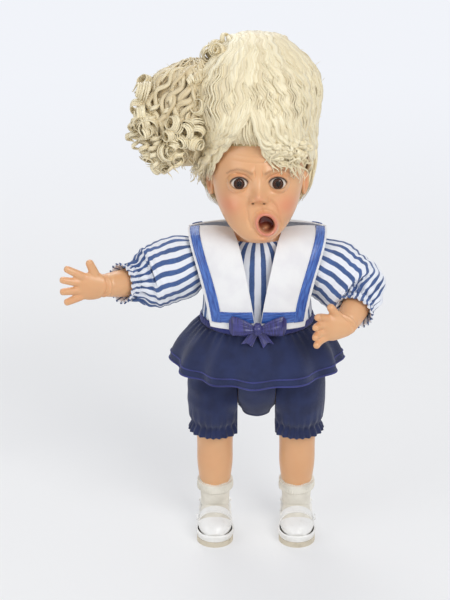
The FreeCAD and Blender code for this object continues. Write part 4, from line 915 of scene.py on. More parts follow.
@dataclass(frozen=True)
class EyeWhite:
    """Polished off-white of an eye, a little uneven."""

    light: Shade = (236, 228, 216)
    warm: Shade = (222, 208, 194)

    def make(self, name: str) -> Material:
        """Build the material.

        Args:
            name: name of the material.

        Returns:
            The material.
        """
        graph = Graph(name)
        tone = graph.mix(graph.noise(graph.place(), 140.0), self.light, self.warm)
        return graph.finish(tone, 0.12, Coat_Weight=0.8, Coat_Roughness=0.04)


@dataclass(frozen=True)
class ClearDome:
    """Clear dome over the disc of an eye: see-through, with the gloss of its surface."""

    rough: float = 0.04
    bend: float = 1.3

    def make(self, name: str) -> Material:
        """Build the material: a see-through shader mixed with gloss by Fresnel.

        Args:
            name: name of the material.

        Returns:
            The material.
        """
        graph = Graph(name)
        graph.tree.nodes.remove(graph.shader)
        edge = graph.node("ShaderNodeFresnel", {"IOR": self.bend}).outputs[0]
        gloss = graph.node("ShaderNodeBsdfAnisotropic", {"Roughness": self.rough})
        return graph.blend(edge, graph.node("ShaderNodeBsdfTransparent"), gloss)


@dataclass
class Wardrobe:
    """Every finish of the doll, made once."""

    skin: Material
    face: Material
    hair: Material
    striped: Material
    navy: Material
    white: Material
    piping: Material
    knit: Material
    net: Material
    satin: Material
    dark_satin: Material
    shoe: Material
    sole: Material
    button: Material
    lash: Material
    eye_white: Material
    cornea: Material

    @classmethod
    def stitched(cls) -> "Wardrobe":
        """Make all the materials."""
        return cls(
            skin=SkinVinyl().make("skin_vinyl", False),
            face=SkinVinyl().make("face_vinyl", True),
            hair=HairFibre().make("hair_blond"),
            striped=WovenCloth(Cloth.STRIPED).make("striped_cotton"),
            navy=WovenCloth(Cloth.NAVY).make("navy_cotton"),
            white=WovenCloth(Cloth.WHITE).make("collar_cotton"),
            piping=WovenCloth(Cloth.PIPING).make("piping"),
            knit=WovenCloth(Cloth.KNIT, 0.0011).make("sock_knit"),
            net=WovenCloth(Cloth.NET, 0.0014).make("wig_net"),
            satin=Satin().make("blue_satin"),
            dark_satin=Satin((62, 62, 134), (30, 30, 80)).make("navy_satin"),
            shoe=MouldedVinyl((242, 241, 238), (222, 220, 214)).make("shoe_vinyl"),
            sole=MouldedVinyl((214, 204, 184), (186, 174, 152), 0.6).make("sole_rubber"),
            button=MouldedVinyl((240, 240, 238), (220, 220, 216), 0.2).make("button_plastic"),
            lash=MouldedVinyl((44, 26, 16), (30, 18, 12), 0.5).make("lash_fibre"),
            eye_white=EyeWhite().make("eye_white"),
            cornea=ClearDome().make("cornea_clear"),
        )


def dress(node: str, material: Material) -> None:
    """Give a node of the model its finish.

    Args:
        node: name of the node.
        material: its finish.
    """
    mesh = bpy.data.objects[node].data
    mesh.materials.clear()
    mesh.materials.append(material)
    mesh.polygons.foreach_set("use_smooth", np.ones(len(mesh.polygons), dtype=bool))


class Side(Enum):
    """Sides of the doll, with the sign of their x."""

    RIGHT = -1
    LEFT = 1

    @property
    def way(self) -> float:
        """Sign of this side's x."""
        return float(self.value)

    @property
    def word(self) -> str:
        """Word that begins the names of this side's pieces."""
        return self.name.lower()


# Head and face


HEAD_ROWS = (
    (-3.0, 0.205, 0.378, -0.250), (0.0, 0.372, 0.415, -0.133), (4.0, 0.500, 0.433, -0.011),
    (8.0, 0.603, 0.439, 0.100), (12.0, 0.680, 0.442, 0.189), (17.0, 0.756, 0.444, 0.267),
    (22.0, 0.820, 0.444, 0.328), (34.0, 0.915, 0.444, 0.422), (46.0, 0.965, 0.444, 0.478),
    (58.0, 0.995, 0.458, 0.511), (70.0, 1.000, 0.464, 0.517), (82.0, 0.935, 0.432, 0.483),
    (92.0, 0.795, 0.360, 0.406), (99.0, 0.603, 0.267, 0.311), (104.0, 0.346, 0.144, 0.183),
    (106.0, 0.103, 0.033, 0.067),
)


@dataclass
class Head:
    """Vinyl head with its painted face, ears, lashes and inset eyes. Sizes in millimetres."""

    stance: Stance
    wardrobe: Wardrobe
    wide: float = 78.0
    deep: float = 90.0
    eye: Point = (15.4, -31.4, 46.0)
    eye_radius: float = 8.4
    lid: Point = (6.7, 4.9, 4.3)
    lid_thick: float = 1.3
    mouth: tuple[float, float] = (6.4, 13.5)
    mouth_half: tuple[float, float] = (6.3, 6.8)
    mouth_depth: float = 11.0
    nose: tuple[float, float] = (35.0, 8.8)
    ear: Point = (4.0, 40.0, 10.5)
    columns: int = 300
    rows: int = 300

    def level(self, z: Array) -> tuple[Array, Array, Array]:
        """Half width, front and back of the bare head at each height."""
        wide, front, back = Profile(HEAD_ROWS).at(z)
        return wide * self.wide / 2, front * self.deep, back * self.deep

    def relief(self, x: Array, z: Array) -> Array:
        """How far the soft forms of the face stand out: the sum of hills for nose, brows, cheeks and chin.

        Args:
            x: sideways places.
            z: heights.

        Returns:
            Distance forwards, in millimetres.
        """
        tip, out = self.nose
        mx, mz = self.mouth
        ez, between = self.eye[2], (self.nose[0] + self.mouth[1]) / 2
        hills = [(0.82 * out, 0.0, tip, 5.0, np.where(z < tip, 3.9, 6.2)), (0.40 * out, 0.0, tip + 8.0, 4.6, 9.0),
                 (-0.8, mx * 0.4, between + 2.6, 1.3, 3.2), (3.2, mx, mz, 13.0, 11.0),
                 (3.6, mx * 0.75, mz - 12.4, 8.6, 4.6), (-1.0, mx * 0.9, mz - 9.6, 6.5, 1.3)]
        total = np.zeros(x.shape)
        for way in WAYS:
            ex = way * self.eye[0]
            hills += [(0.40 * out, way * 5.6, tip - 2.2, 2.9, 3.0), (-2.6, way * 4.4, tip - 4.6, 1.25, 1.15),
                      (3.4, way * 23.0 + mx * 0.2, between + 1.0, 10.0, 11.0),
                      (2.3, way * 14.0, ez + 10.6, 9.0, 3.8), (1.5, way * 6.0, ez + 8.6, 3.0, 3.6),
                      (-2.8, ex, ez + 0.6, 10.0, 6.8), (-0.9, way * 2.7, ez + 8.5, 0.8, 4.4),
                      (0.7, ex + way * 0.5, ez - 8.2, 6.5, 1.8)]
            fold = np.array([(way * 7.8, tip - 1.0), (way * 11.5 + mx * 0.35, tip - 8.0),
                             (way * 12.6 + mx * 0.7, mz + 4.0), (way * 12.0 + mx, mz - 3.0)])
            total -= 1.25 * bell(near_path(x, z, fold), 0.0, 1.5)
        for rise, depth, half in ((17.0, 0.5, 20.0), (21.5, 0.4, 18.0)):
            total -= depth * bell(z - ez - (x / 30.0) ** 2 * 3.0, rise, 0.9) * np.exp(-(x / half) ** 4)
        return total + sum(size * hill(x, z, *place) for size, *place in hills)

    def mouth_reach(self, x: Array, z: Array) -> Array:
        """Distance from the middle of the mouth, 1 at the rim of its opening."""
        dx, dz = x - self.mouth[0], z - self.mouth[1]
        return np.hypot((dx + 0.16 * dz) / self.mouth_half[0], dz / self.mouth_half[1])

    def lid_reach(self, x: Array, z: Array, way: float) -> Array:
        """Distance from the middle of an eye, 1 at the rim of the eyelids.

        Args:
            x: sideways places.
            z: heights.
            way: -1 for the doll's right eye, 1 for its left.

        Returns:
            The reach: an ellipse, sharpened at the corners and with its own height above and below.
        """
        wide, upper, lower = self.lid
        tall = np.where(z > self.eye[2], upper, lower)
        return (((x - way * self.eye[0]) / wide) ** 2 + np.abs((z - self.eye[2]) / tall) ** 1.75) ** 0.5

    def front(self, x: Array, z: Array, y: Array, facing: Array) -> Array:
        """Places of the face's surface along y, with its relief, lips, mouth and eyelids.

        Args:
            x: sideways places.
            z: heights.
            y: plain head's places.
            facing: 1 where the surface faces forwards, 0 at the sides and behind.

        Returns:
            The new places along y.
        """
        reach = self.mouth_reach(x, z)
        lips = 2.3 * bell(reach, 1.27, 0.24) - 0.7 * bell(reach, 1.72, 0.16)
        tongue = 5.4 * hill(x, z, self.mouth[0] - 0.6, self.mouth[1] - 3.6, 3.6, 2.5)
        cup = self.mouth_depth * (0.75 + 0.25 * (1.0 - np.minimum(reach, 1.0) ** 2)) - tongue
        y = y + (smooth_step(1.08 - reach, 0.0, 0.30) * cup - lips - self.relief(x, z)) * facing
        outer, inner, blend = self.eye_radius + self.lid_thick, self.eye_radius - 1.2, 1.3
        for way in WAYS:
            rim, dz = self.lid_reach(x, z, way), z - self.eye[2]
            flat = (x - way * self.eye[0]) ** 2 + dz ** 2
            ball = self.eye[1] - np.sqrt(np.maximum(outer ** 2 - flat, 0.0))
            gap = np.clip(0.5 + 0.5 * (y - ball) / blend, 0.0, 1.0)
            lidded = y * (1 - gap) + ball * gap - blend * gap * (1 - gap)
            lidded = np.where((flat < outer ** 2) & (facing > 0.3), lidded, y)
            lidded = lidded + 0.7 * bell(rim, 1.50, 0.10) * smooth_step(dz, 1.0, 4.0)
            socket = self.eye[1] - np.sqrt(np.maximum(inner ** 2 - flat, 0.0))
            open_ = smooth_step(1.04 - rim, 0.0, 0.14) * (facing > 0.3)
            y = lidded * (1 - open_) + np.maximum(socket, lidded) * open_
        return y

    def paint(self, x: Array, z: Array, facing: Array) -> dict[str, Array]:
        """Painted layers of the face, each from 0 to 1.

        Args:
            x: sideways places.
            z: heights.
            facing: 1 where the surface faces forwards.

        Returns:
            Layers by name.
        """
        (mx, mz), (tip, _), (ex, _, ez) = self.mouth, self.nose, self.eye
        reach = self.mouth_reach(x, z)
        blush = 0.30 * hill(x, z, 0.0, tip, 4.5, 4.0) + 0.25 * hill(x, z, mx, mz - 12.0, 7.0, 4.0)
        brow, lash = np.zeros(x.shape), np.zeros(x.shape)
        for way in WAYS:
            blush += 0.62 * hill(x, z, way * 24.0, (tip + mz) / 2 + 3.0, 10.0, 9.0)
            blush += 0.28 * hill(x, z, way * ex, ez + 5.4, 7.0, 2.0)
            arc = np.array([(5.4, 8.6), (8.0, 9.9), (12.0, 11.2), (17.0, 11.6), (22.0, 9.6), (25.0, 7.0)])
            off = near_path(x, z, arc * np.array([way, 1.0]) + np.array([0.0, ez]))
            hairs = 0.70 + 0.30 * np.sin(x * 5.2 + way * z * 3.4)
            thick = 1.25 - 0.5 * smooth_step(np.abs(x), 12.0, 25.0)
            brow = np.maximum(brow, 0.62 * hairs * bell(off, 0.0, thick))
            above = smooth_step(z, ez - 1.0, ez + 2.0)
            rim = (0.45 + 0.55 * above) * bell(self.lid_reach(x, z, way), 1.06, 0.07 + 0.06 * above)
            # The second term paints the nostril dents near-black with the lash colour: painted shade.
            lash = np.maximum(np.maximum(lash, rim), 0.9 * hill(x, z, way * 4.4, tip - 4.7, 0.95, 0.85))
        inside = smooth_step(1.06 - reach, 0.0, 0.22)
        lip = 0.85 * bell(reach, 1.22, 0.24) * (1 - inside)
        tongue = hill(x, z, mx - 0.6, mz - 3.6, 3.4, 2.3)
        # The fold layer is painted shade in the groove round the lips.
        layers = {"blush": blush, "lip": lip, "inside": inside * (1 - 0.62 * tongue), "brow": brow, "lash": lash,
                  "fold": 0.35 * bell(reach, 1.75, 0.16), "wet": lip * 0.7 + inside}
        return {name: np.clip(layer, 0.0, 1.0) * facing for name, layer in layers.items()}

    def skin(self) -> Patch:
        """Whole head, finer on the face: x = wide sin(a), y = middle - half cos(a), less the face's relief."""
        turn = np.linspace(-math.pi, math.pi, self.columns, endpoint=False)
        heights = np.interp(shares(self.rows), [0.0, 0.10, 0.76, 1.0], [-2.9, 1.0, 62.0, 105.9])
        angle, z = np.meshgrid(turn - 0.66 * np.sin(turn), heights)
        facing = smooth_step(np.cos(angle), 0.0, 0.55)
        wide, front, back = self.level(z)
        x = wide * np.sin(angle)
        y = self.front(x, z, (back - front) / 2 - (back + front) / 2 * np.cos(angle), facing)
        paint = {name: np.concatenate([layer[:1], layer, layer[-1:]])
                 for name, layer in self.paint(x, z, facing).items()}
        return Patch(self.stance.head(close_rows(xyz(x, y, z))), paint=paint)

    def ear_patch(self, way: float) -> Patch:
        """One ear: a shell with a rolled rim, an inner ridge and a hollow, drawn in polar rings.

        Args:
            way: -1 for the doll's right ear, 1 for its left.

        Returns:
            The ear as rings from the middle of its outside to the middle of its inside.
        """
        back, height, tall = self.ear
        r = np.concatenate([np.linspace(0.02, 1.0, 40), np.linspace(0.98, 0.02, 16)])[:, None]
        a = circle(72)[None]
        across, up = np.cos(a), np.sin(a)
        outside = (np.arange(56) < 40)[:, None]
        rim = 1.7 * bell(r, 0.90, 0.09) * (0.35 + 0.65 * smooth_step(up + 0.6 * across, -0.7, 0.4))
        ridge = 1.1 * bell(r, 0.56, 0.10) * smooth_step(across + 0.3 * up, -0.3, 0.7)
        lift = np.where(outside, rim + ridge - 2.0 * bell(r, 0.1, 0.32) + 1.2, -0.6 * (1 - r ** 2) - 0.4)
        lift = lift + 2.6 * smooth_step(r * across, -0.7, 1.0)
        y = back + r * across * tall * 0.62 * (1.0 - 0.16 * bell(up, -0.9, 0.5)) + 0.10 * tall * r * up
        root = self.level(np.array([height]))[0][0] * 0.985
        # Rose blush over the ear's hollow; the same value, through the fold layer, is painted shade there.
        tint = np.broadcast_to(0.35 * bell(r, 0.45, 0.3) * outside, y.shape)
        points = xyz(way * (root + lift + 0.4), y, height + r * up * tall)
        return Patch(self.stance.head(points), flip=way > 0, paint={"blush": tint, "fold": tint * 0.8})

    def neck_patch(self) -> Patch:
        """Round neck from its seat on the torso up into the head, with a low ring above its foot."""
        z, a = np.linspace(-2.4, 20.0, 24)[:, None], circle(64)
        radius = 15.5 + 0.7 * bell(z, 5.0, 2.0) - 0.6 * bell(z, 2.0, 1.0)
        points = xyz(radius * np.cos(a), radius * np.sin(a), self.stance.head_seat + z)
        return Patch(points, paint={"blush": 0.1})

    def lashes(self, way: float) -> list[Patch]:
        """Short lashes along one upper eyelid, each a thin tapered cone that curves up.

        Args:
            way: -1 for the doll's right eye, 1 for its left.

        Returns:
            One patch for each lash.
        """
        rng = np.random.default_rng(41 if way > 0 else 42)
        patches = []
        t = shares(6)
        radius = 0.16 * (1 - 0.85 * t)
        for share in np.linspace(-0.92, 0.92, 23):
            dx, dz = share * self.lid[0], self.lid[1] * (1 - share ** 2) ** 0.6
            outer = (self.eye_radius + self.lid_thick) ** 2 - dx ** 2 - dz ** 2
            y = self.eye[1] - math.sqrt(max(outer, 0.0)) + 0.2
            length = 2.3 * (1 - 0.35 * share * share) + rng.uniform(-0.2, 0.3)
            path = xyz(way * self.eye[0] + dx + share * length * 0.5 * t, y - length * (t - 0.25 * t ** 2),
                       self.eye[2] + dz + length * 0.75 * t ** 1.7)
            patches.append(Patch(self.stance.head(tube(path, radius, radius, np.array([1.0, 0.0, 0.2]), 5))))
        return patches

    def build(self) -> None:
        """Make the head's pieces and dress its eyes."""
        centre = np.mean(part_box("left_eyeball"), axis=0)
        LOG.info("left eye at %s", centre.round(4).tolist())
        Piece("head_skin", self.stance, self.skin(), self.ear_patch(-1.0), self.ear_patch(1.0),
              self.neck_patch()).build(self.wardrobe.face, "head", "skin_vinyl", "head_shell")
        Piece("eyelashes", self.stance, *self.lashes(-1.0), *self.lashes(1.0)).build(
            self.wardrobe.lash, "head", "iris_brown")
        for side in Side:
            at = self.stance.place(self.stance.head(np.array(self.eye) * np.array([side.way, 1.0, 1.0])))
            iris = Iris(tuple(float(v) for v in at), math.radians(self.stance.head_pitch))
            dress(f"{side.word}_iris", iris.make(f"{side.word}_iris_brown"))
            dress(f"{side.word}_eyeball", self.wardrobe.eye_white)
            dress(f"{side.word}_cornea", self.wardrobe.cornea)


# Hair


CROWN_ROWS = (
    (0.97, 1.02, 1.10, 1.00, 1.06), (1.08, 1.16, 1.27, 1.16, 1.22), (1.26, 1.28, 1.42, 1.19, 1.30),
    (1.48, 1.30, 1.40, 1.12, 1.30), (1.64, 1.20, 1.20, 0.98, 1.18), (1.82, 0.90, 0.82, 0.70, 0.92),
    (1.95, 0.46, 0.38, 0.34, 0.48), (2.00, 0.10, 0.08, 0.06, 0.10),
)
BACK_ROWS = (
    (0.13, 0.52, 0.66), (0.24, 0.92, 1.06), (0.42, 1.18, 1.40), (0.70, 1.24, 1.50), (0.95, 1.18, 1.46),
    (1.10, 1.04, 1.32),
)
MASS_ROWS = (
    (0.66, -0.58, 0.10, 0.10, 0.16, 0.16), (0.74, -0.60, 0.24, 0.26, 0.34, 0.34),
    (0.92, -0.62, 0.28, 0.34, 0.46, 0.46), (1.16, -0.60, 0.30, 0.38, 0.50, 0.48),
    (1.42, -0.56, 0.30, 0.38, 0.46, 0.44), (1.66, -0.52, 0.26, 0.30, 0.36, 0.34),
    (1.77, -0.50, 0.03, 0.04, 0.05, 0.05),
)


def ramp(t: Array, *rows: tuple[float, ...]) -> Array:
    """Control points start + change * t of locks at t, from one row of both for each point."""
    table = np.array(rows).reshape(len(rows), 2, -1)
    return table[:, 0] + table[:, 1] * t[:, None, None]


def chain(*parts: Array) -> Array:
    """Control points of each lock, one or more from each part."""
    return np.concatenate([part.reshape(len(part), -1, 3) for part in parts], axis=1)


@dataclass
class Hair:
    """Blond fibre hair: piled crown, ringlets on the doll's right, swept side, back and fringe."""

    stance: Stance
    wardrobe: Wardrobe
    face: Head
    half: float = 39.0
    front: float = 45.0
    crown_rise: float = 80.31
    crown_back: float = 48.4
    back_deep: float = 42.5
    back_centre: float = 14.6
    back_trim: float = 6.6
    level_tall: float = 80.0
    mass_reach: float = 99.5
    mass_deep: float = 62.0
    seed: int = 23

    def crown(self, angle: Array, level: Array | float, grow: Array | float = 0.0) -> Array:
        """Pile on top: x = side cos(a), y = front or back sin(a), each with its own reach at a level.

        Args:
            angle: angle round the form.
            level: height in the head's frame.
            grow: how far the points stand out from it.

        Returns:
            Points of the head's frame.
        """
        right, left, front, back = Profile(CROWN_ROWS).at(level)
        across, along = np.cos(angle), np.sin(angle)
        wide = np.where(across > 0, right, left) * self.half + grow
        deep = np.where(along > 0, back * self.crown_back, front * self.front) + grow
        return xyz(wide * across, deep * along, level * self.crown_rise)

    def nape(self, angle: Array, level: Array | float, grow: Array | float = 0.0) -> Array:
        """Hair behind the head: x = wide cos(a), y = centre + deep sin(a) at each level.

        Args:
            angle: angle round the form.
            level: height in the head's frame.
            grow: how far the points stand out from it.

        Returns:
            Points of the head's frame.
        """
        wide, deep = Profile(BACK_ROWS).at(level)
        along = np.sin(angle)
        reach = np.where(along > 0, deep * self.back_deep - self.back_trim, 1.2) + grow
        return xyz((wide * self.half + grow) * np.cos(angle), self.back_centre + reach * along,
                   level * self.level_tall)

    def mass(self, angle: Array, level: Array | float, grow: Array | float = 0.0) -> Array:
        """Loose mass beside the crown: an oval about its own middle at each level.

        Args:
            angle: angle round the form.
            level: height in the head's frame.
            grow: how far the points stand out from it.

        Returns:
            Points of the head's frame.
        """
        middle, right, left, front, back = Profile(MASS_ROWS).at(level)
        across, along = np.cos(angle), np.sin(angle)
        wide = np.where(across > 0, right, left) * self.mass_reach + grow
        deep = np.where(along > 0, back, front) * self.mass_deep + grow
        return xyz(middle * self.mass_reach + wide * across, deep * along, level * self.level_tall)

    @staticmethod
    def outward(form: Form, angle: Array, level: Array) -> Array:
        """Direction square to one of the forms: the cross product of its two slopes.

        Args:
            form: points at an angle and a level.
            angle: angles.
            level: levels.

        Returns:
            Directions of length one.
        """
        step = 0.01
        return unit(np.cross(form(angle + step, level) - form(angle - step, level),
                             form(angle, level + step) - form(angle, level - step)))

    def painted_shade_core(self, form: Form, low: float, high: float, grow: float, tint: float) -> Patch:
        """Dark closed form inside a form of the hair: painted shade that fills the gaps between locks."""
        points = close_rows(form(circle(72)[None], np.linspace(low, high, 34)[:, None], grow))
        return Patch(self.stance.head(points), paint={"tint": tint})

    def wave(self, path: Array, out: Array, rng: Rng, size: float, length: float,
             fade: Array | float = 1.0, flow: Array | None = None) -> Array:
        """Crimp paths sideways and outwards: size * sin(TAU * reach / length + phase).

        Args:
            path: points of each path.
            out: direction away from the head.
            rng: source of the phases.
            size: size of the waves.
            length: length of one wave.
            fade: share of the waves along the path.
            flow: place of each path among its neighbours, so that neighbours wave together.

        Returns:
            The waved paths.
        """
        step = np.linalg.norm(np.diff(path, axis=1), axis=-1)
        reach = np.pad(np.cumsum(step, axis=1), ((0, 0), (1, 0)))
        beside = unit(np.cross(out, tangents(path)))
        phase = rng.uniform(0.0, TAU, (2, len(path), 1))
        pitch = length * rng.uniform(0.8, 1.25, (len(path), 1))
        lift = 0.6
        if flow is not None:
            flow = flow[:, None]
            shared = 2.6 * np.sin(2.0 * flow + 0.4) + 1.7 * np.sin(5.0 * flow) + 0.8 * np.sin(11.0 * flow)
            phase = np.stack([shared, shared + 1.2]) + (phase - math.pi) * 0.16
            pitch = length * (1.0 + 0.16 * np.sin(3.0 * flow + 1.0))
            lift = 0.22
        swing = np.sin(TAU * reach / pitch + phase) * size * fade
        return path + beside * swing[0][..., None] + out * (lift * swing[1])[..., None]

    def placed(self, path: Array, out: Array, *rest: object) -> Patch:
        """Locks along paths of the head's frame; the rest goes to locks as it is."""
        away = self.stance.head(out) - self.stance.head(np.zeros(3))
        return locks(self.stance.head(path), away, *rest)

    def guided(self, controls: Array, rows: int, size: tuple[float, float], rng: Rng,
               wave: tuple[float, float], tint: float, sides: int = 7, flow: Array | None = None) -> Patch:
        """Locks along smooth curves that start from rows of control points.

        Args:
            controls: control points of each lock.
            rows: rings of each lock.
            size: half width and half thickness.
            rng: source of the differences.
            wave: size and length of the waves.
            tint: how dark the locks are on average; the darker groups on the doll's right side and at the back carry
                painted shade.
            sides: points round a ring.
            flow: place of each lock among its neighbours.

        Returns:
            The locks.
        """
        path = spline(controls, rows)
        out = unit(path - np.array([0.0, 8.0, 60.0]))
        path = self.wave(path, out, rng, *wave, np.linspace(0.5, 1.0, rows)[None], flow)
        shade = np.clip(tint + rng.uniform(-0.25, 0.3, len(path)), 0.0, 1.0)
        return self.placed(path, out, size[0] * rng.uniform(0.7, 1.2, len(path)), size[1], rng, sides, shade)

    def crown_locks(self, count: int, rows: int, size: tuple[float, float], sides: int, lift: float,
                    rng: Rng) -> Patch:
        """Locks from the hairline up the pile to its top.

        Args:
            count: number of locks.
            rows: rings of each lock.
            size: half width and half thickness.
            sides: points round a ring.
            lift: distance from the form.
            rng: source of the differences.

        Returns:
            The locks.
        """
        u = shares(rows)[None]
        start = (np.arange(count) + rng.uniform(-0.4, 0.4, count)) * TAU / count
        drift = rng.uniform(-0.10, 0.10, count) + 0.22 * np.sin(start) + 0.16 * np.sin(3 * start + 1.0)
        low = rng.uniform(0.955, 1.03, count)[:, None]
        level = low + (rng.uniform(1.80, 1.93, count)[:, None] - low) * u
        angle = start[:, None] + drift[:, None] * u
        away = lift + rng.uniform(-0.9, 1.0, count)[:, None]
        away = away + 1.1 * np.sin(5 * start)[:, None] * np.sin(math.pi * u)
        out = self.outward(self.crown, angle, np.clip(level, 0.98, 1.92))
        fade = 0.35 + 0.65 * smooth_step(u, 0.10, 0.45)
        path = self.wave(self.crown(angle, level, away), out, rng, 1.7, 17.0, fade, start)
        # Random tone of each lock, plus painted shade: up to 0.2 darker towards the doll's right side (negative x).
        shade = rng.uniform(0.0, 0.45, count) + 0.2 * smooth_step(-np.cos(start), 0.2, 1.0)
        return self.placed(path, out, size[0] * rng.uniform(0.6, 1.25, count), size[1], rng, sides, shade,
                           0.1, 0.2)

    def top_cover(self, rng: Rng) -> Patch:
        """Locks that roll back over the top of the pile, from its front edge to its back.

        Args:
            rng: source of the chances.

        Returns:
            The locks.
        """
        a = np.linspace(-3.0, -0.15, 96) + rng.uniform(-0.04, 0.04, 96)
        lift = rng.uniform(-0.6, 1.4, 96)
        near = [self.crown(a, level, lift + grow)
                for level, grow in ((1.34, -0.6), (1.56, 0.8), (1.76, 1.6), (1.90, 2.0))]
        peak = xyz(20.0 * np.cos(a) - 3.0, 4.0 + 6.0 * np.sin(a), 165.0 - 6.0 * np.cos(a) ** 2 + lift)
        far = [self.crown(0.2 - a, level, lift + grow)
               for level, grow in ((1.90, 2.0), (1.74, 1.4), (1.52, 0.8), (1.28, -0.4))]
        return self.guided(chain(*near, peak, *far), 56, (2.7, 1.3), rng, (1.6, 15.0), 0.15, 7, a)

    def top_curls(self, rng: Rng) -> Patch:
        """Rolled curls on top of the pile.

        Args:
            rng: source of the chances.

        Returns:
            The locks.
        """
        count = 14
        a = rng.uniform(0.68 * math.pi, 1.24 * math.pi, count)
        seat = xyz(33.0 * np.cos(a) - 6.0, 2.0 + 20.0 * np.sin(a), 159.5 - 17.0 * np.cos(a) ** 2)
        way = unit(xyz(np.sin(a), np.cos(a), 0.15))[:, None]
        u = shares(48)[:, None]
        axis = seat[:, None] + way * rng.uniform(6.0, 12.0, count)[:, None, None] * (u - 0.5)
        radius = rng.uniform(4.4, 8.0, count)[:, None] * (1.0 - 0.5 * u.T)
        path, away = curl(axis, radius, rng.uniform(1.1, 1.7, count), rng.uniform(0, TAU, count),
                          np.array([0.1, 0.0, 1.0]))
        return self.placed(path, away, rng.uniform(2.0, 3.2, count), 0.9, rng, 6,
                           rng.uniform(0.0, 0.4, count), 0.15, 0.3)

    def back_locks(self, count: int, size: tuple[float, float], lift: float, sides: int, rng: Rng) -> Patch:
        """Loose locks from the back of the pile down to the nape.

        Args:
            count: number of locks.
            size: half width and half thickness.
            lift: distance from the form.
            sides: points round a ring.
            rng: source of the differences.

        Returns:
            The locks.
        """
        a = np.linspace(-0.25, math.pi + 0.25, count) + rng.uniform(-0.05, 0.05, count)
        b = a + rng.uniform(-0.16, 0.16, count) + 0.12 * np.sin(3.0 * a)
        away = lift + rng.uniform(-1.3, 1.4, count)
        upper = [self.crown(a, level, away) for level in (1.80, 1.62, 1.42, 1.16)]
        lower = [self.nape(b, level, away) for level in (0.92, 0.66, 0.42, rng.uniform(0.10, 0.30, count))]
        # Average darkness 0.25 is painted shade at the back of the head.
        return self.guided(chain(*upper, *lower), 46, size, rng, (1.7, 22.0), 0.25, sides, a)

    def swept_side(self, rng: Rng) -> Patch:
        """Locks swept down and back over the ear on the doll's left.

        Args:
            rng: source of the chances.

        Returns:
            The locks.
        """
        t = shares(44)
        a = -1.42 + 1.57 * t + rng.uniform(-0.05, 0.05, 44)
        low = ramp(t, (38.5, -29.0, 77.0, 0.0, 49.0, -3.0), (43.0, -13.0, 62.0, 3.5, 41.0, -6.0),
                   (40.5, 4.0, 50.0, 2.0, 34.0, -16.0))
        low += rng.uniform(-0.8, 1.4, 44)[:, None, None] * np.array([1.0, 0.2, 0.0])
        low[:, 0, 0] += 8.0 * t ** 0.5
        low[:, 2, 2] += rng.uniform(-3, 3, 44)
        controls = chain(self.crown(a, 1.40, 0.8), self.crown(a + 0.05, 1.12, 0.6), low)
        return self.guided(controls, 40, (3.6, 1.5), rng, (0.9, 16.0), 0.15)

    def loose_side(self, rng: Rng) -> Patch:
        """Locks from the pile's edge past the temple on the doll's right, to the ear and the ringlets.

        Args:
            rng: source of the chances.

        Returns:
            The locks.
        """
        t = shares(46)
        a = -2.05 - 1.3 * t + rng.uniform(-0.06, 0.06, 46)
        low = ramp(t, (-34.0, -33.0, 74.0, -12.0, 44.0, 2.0), (-42.0, -20.0, 62.0, -9.0, 42.0, -2.0),
                   (-43.0, -6.0, 50.0, 0.0, 36.0, 0.0))
        low[:, 2, 0] -= 12.0 * rng.uniform(0, 1, 46)
        low[:, 2, 2] -= 12.0 * rng.uniform(0, 1, 46)
        low[:, :2] += rng.uniform(-1.2, 1.2, (46, 1, 3)) * np.array([[1.0], [1.5]])
        controls = chain(self.crown(a, 1.34, 1.0), self.crown(a, 1.10, 1.0), low)
        # Average darkness 0.35 is painted shade on the doll's shaded right side.
        return self.guided(controls, 40, (3.4, 1.4), rng, (1.5, 14.0), 0.35)

    def before(self, flat: Array, lift: Array) -> Array:
        """Points that stand before the forehead below the hairline, and before the pile above it.

        Each form reaches front * sqrt(1 - (x / wide)^2); the two are mixed over the hairline.

        Args:
            flat: places across and heights.
            lift: distance from the form.

        Returns:
            Points of the head's frame.
        """
        x, z = flat[..., 0], flat[..., 1]
        wide, front, _ = self.face.level(np.clip(z, 0.0, 100.0))
        low = front * np.sqrt(np.maximum(1.0 - (x / (wide + 3.0)) ** 2, 0.04))
        right, left, deep, _ = Profile(CROWN_ROWS).at(np.clip(z / self.crown_rise, 0.97, 1.9))
        side = np.where(x > 0, right, left) * self.half
        high = deep * self.front * np.sqrt(np.maximum(1.0 - (x / (side + 1.0)) ** 2, 0.04))
        return xyz(x, -(low + (high - low) * smooth_step(z, 72.0, 84.0)) - lift, z)

    def temple(self, rng: Rng) -> Patch:
        """Locks that part over the forehead and fall past its edge on the doll's right.

        Args:
            rng: source of the chances.

        Returns:
            The locks.
        """
        t = shares(40)
        stray = rng.uniform(-1.0, 1.0, (3, 40)).T
        flat = ramp(t, (-4.0, 114.0, -26.0, -3.0), (-9.0, 101.0, -26.0, -2.0), (-17.0, 88.0, -21.0, -2.0),
                    (-27.5, 74.0, -12.0, 1.0))
        flat[:, 1:, 0] += stray[:, [0, 1, 1]] * np.array([1.0, 1.0, 1.5])
        low = ramp(t, (-36.0, -24.0, 60.0, -6.0, 9.0, 0.0), (-37.5, -15.0, 47.0, -6.0, 12.0, 0.0))
        low[..., 2] += stray[:, [0, 2]] * np.array([2.0, 6.0])
        low[:, 1, 0] += stray[:, 1]
        controls = chain(self.before(flat, np.array([0.0, 2.5, 4.0, 3.4]) + stray[:, 2:]), low)
        return self.guided(controls, 44, (2.1, 1.0), rng, (1.2, 14.0), 0.1, 7, 3.0 * t)

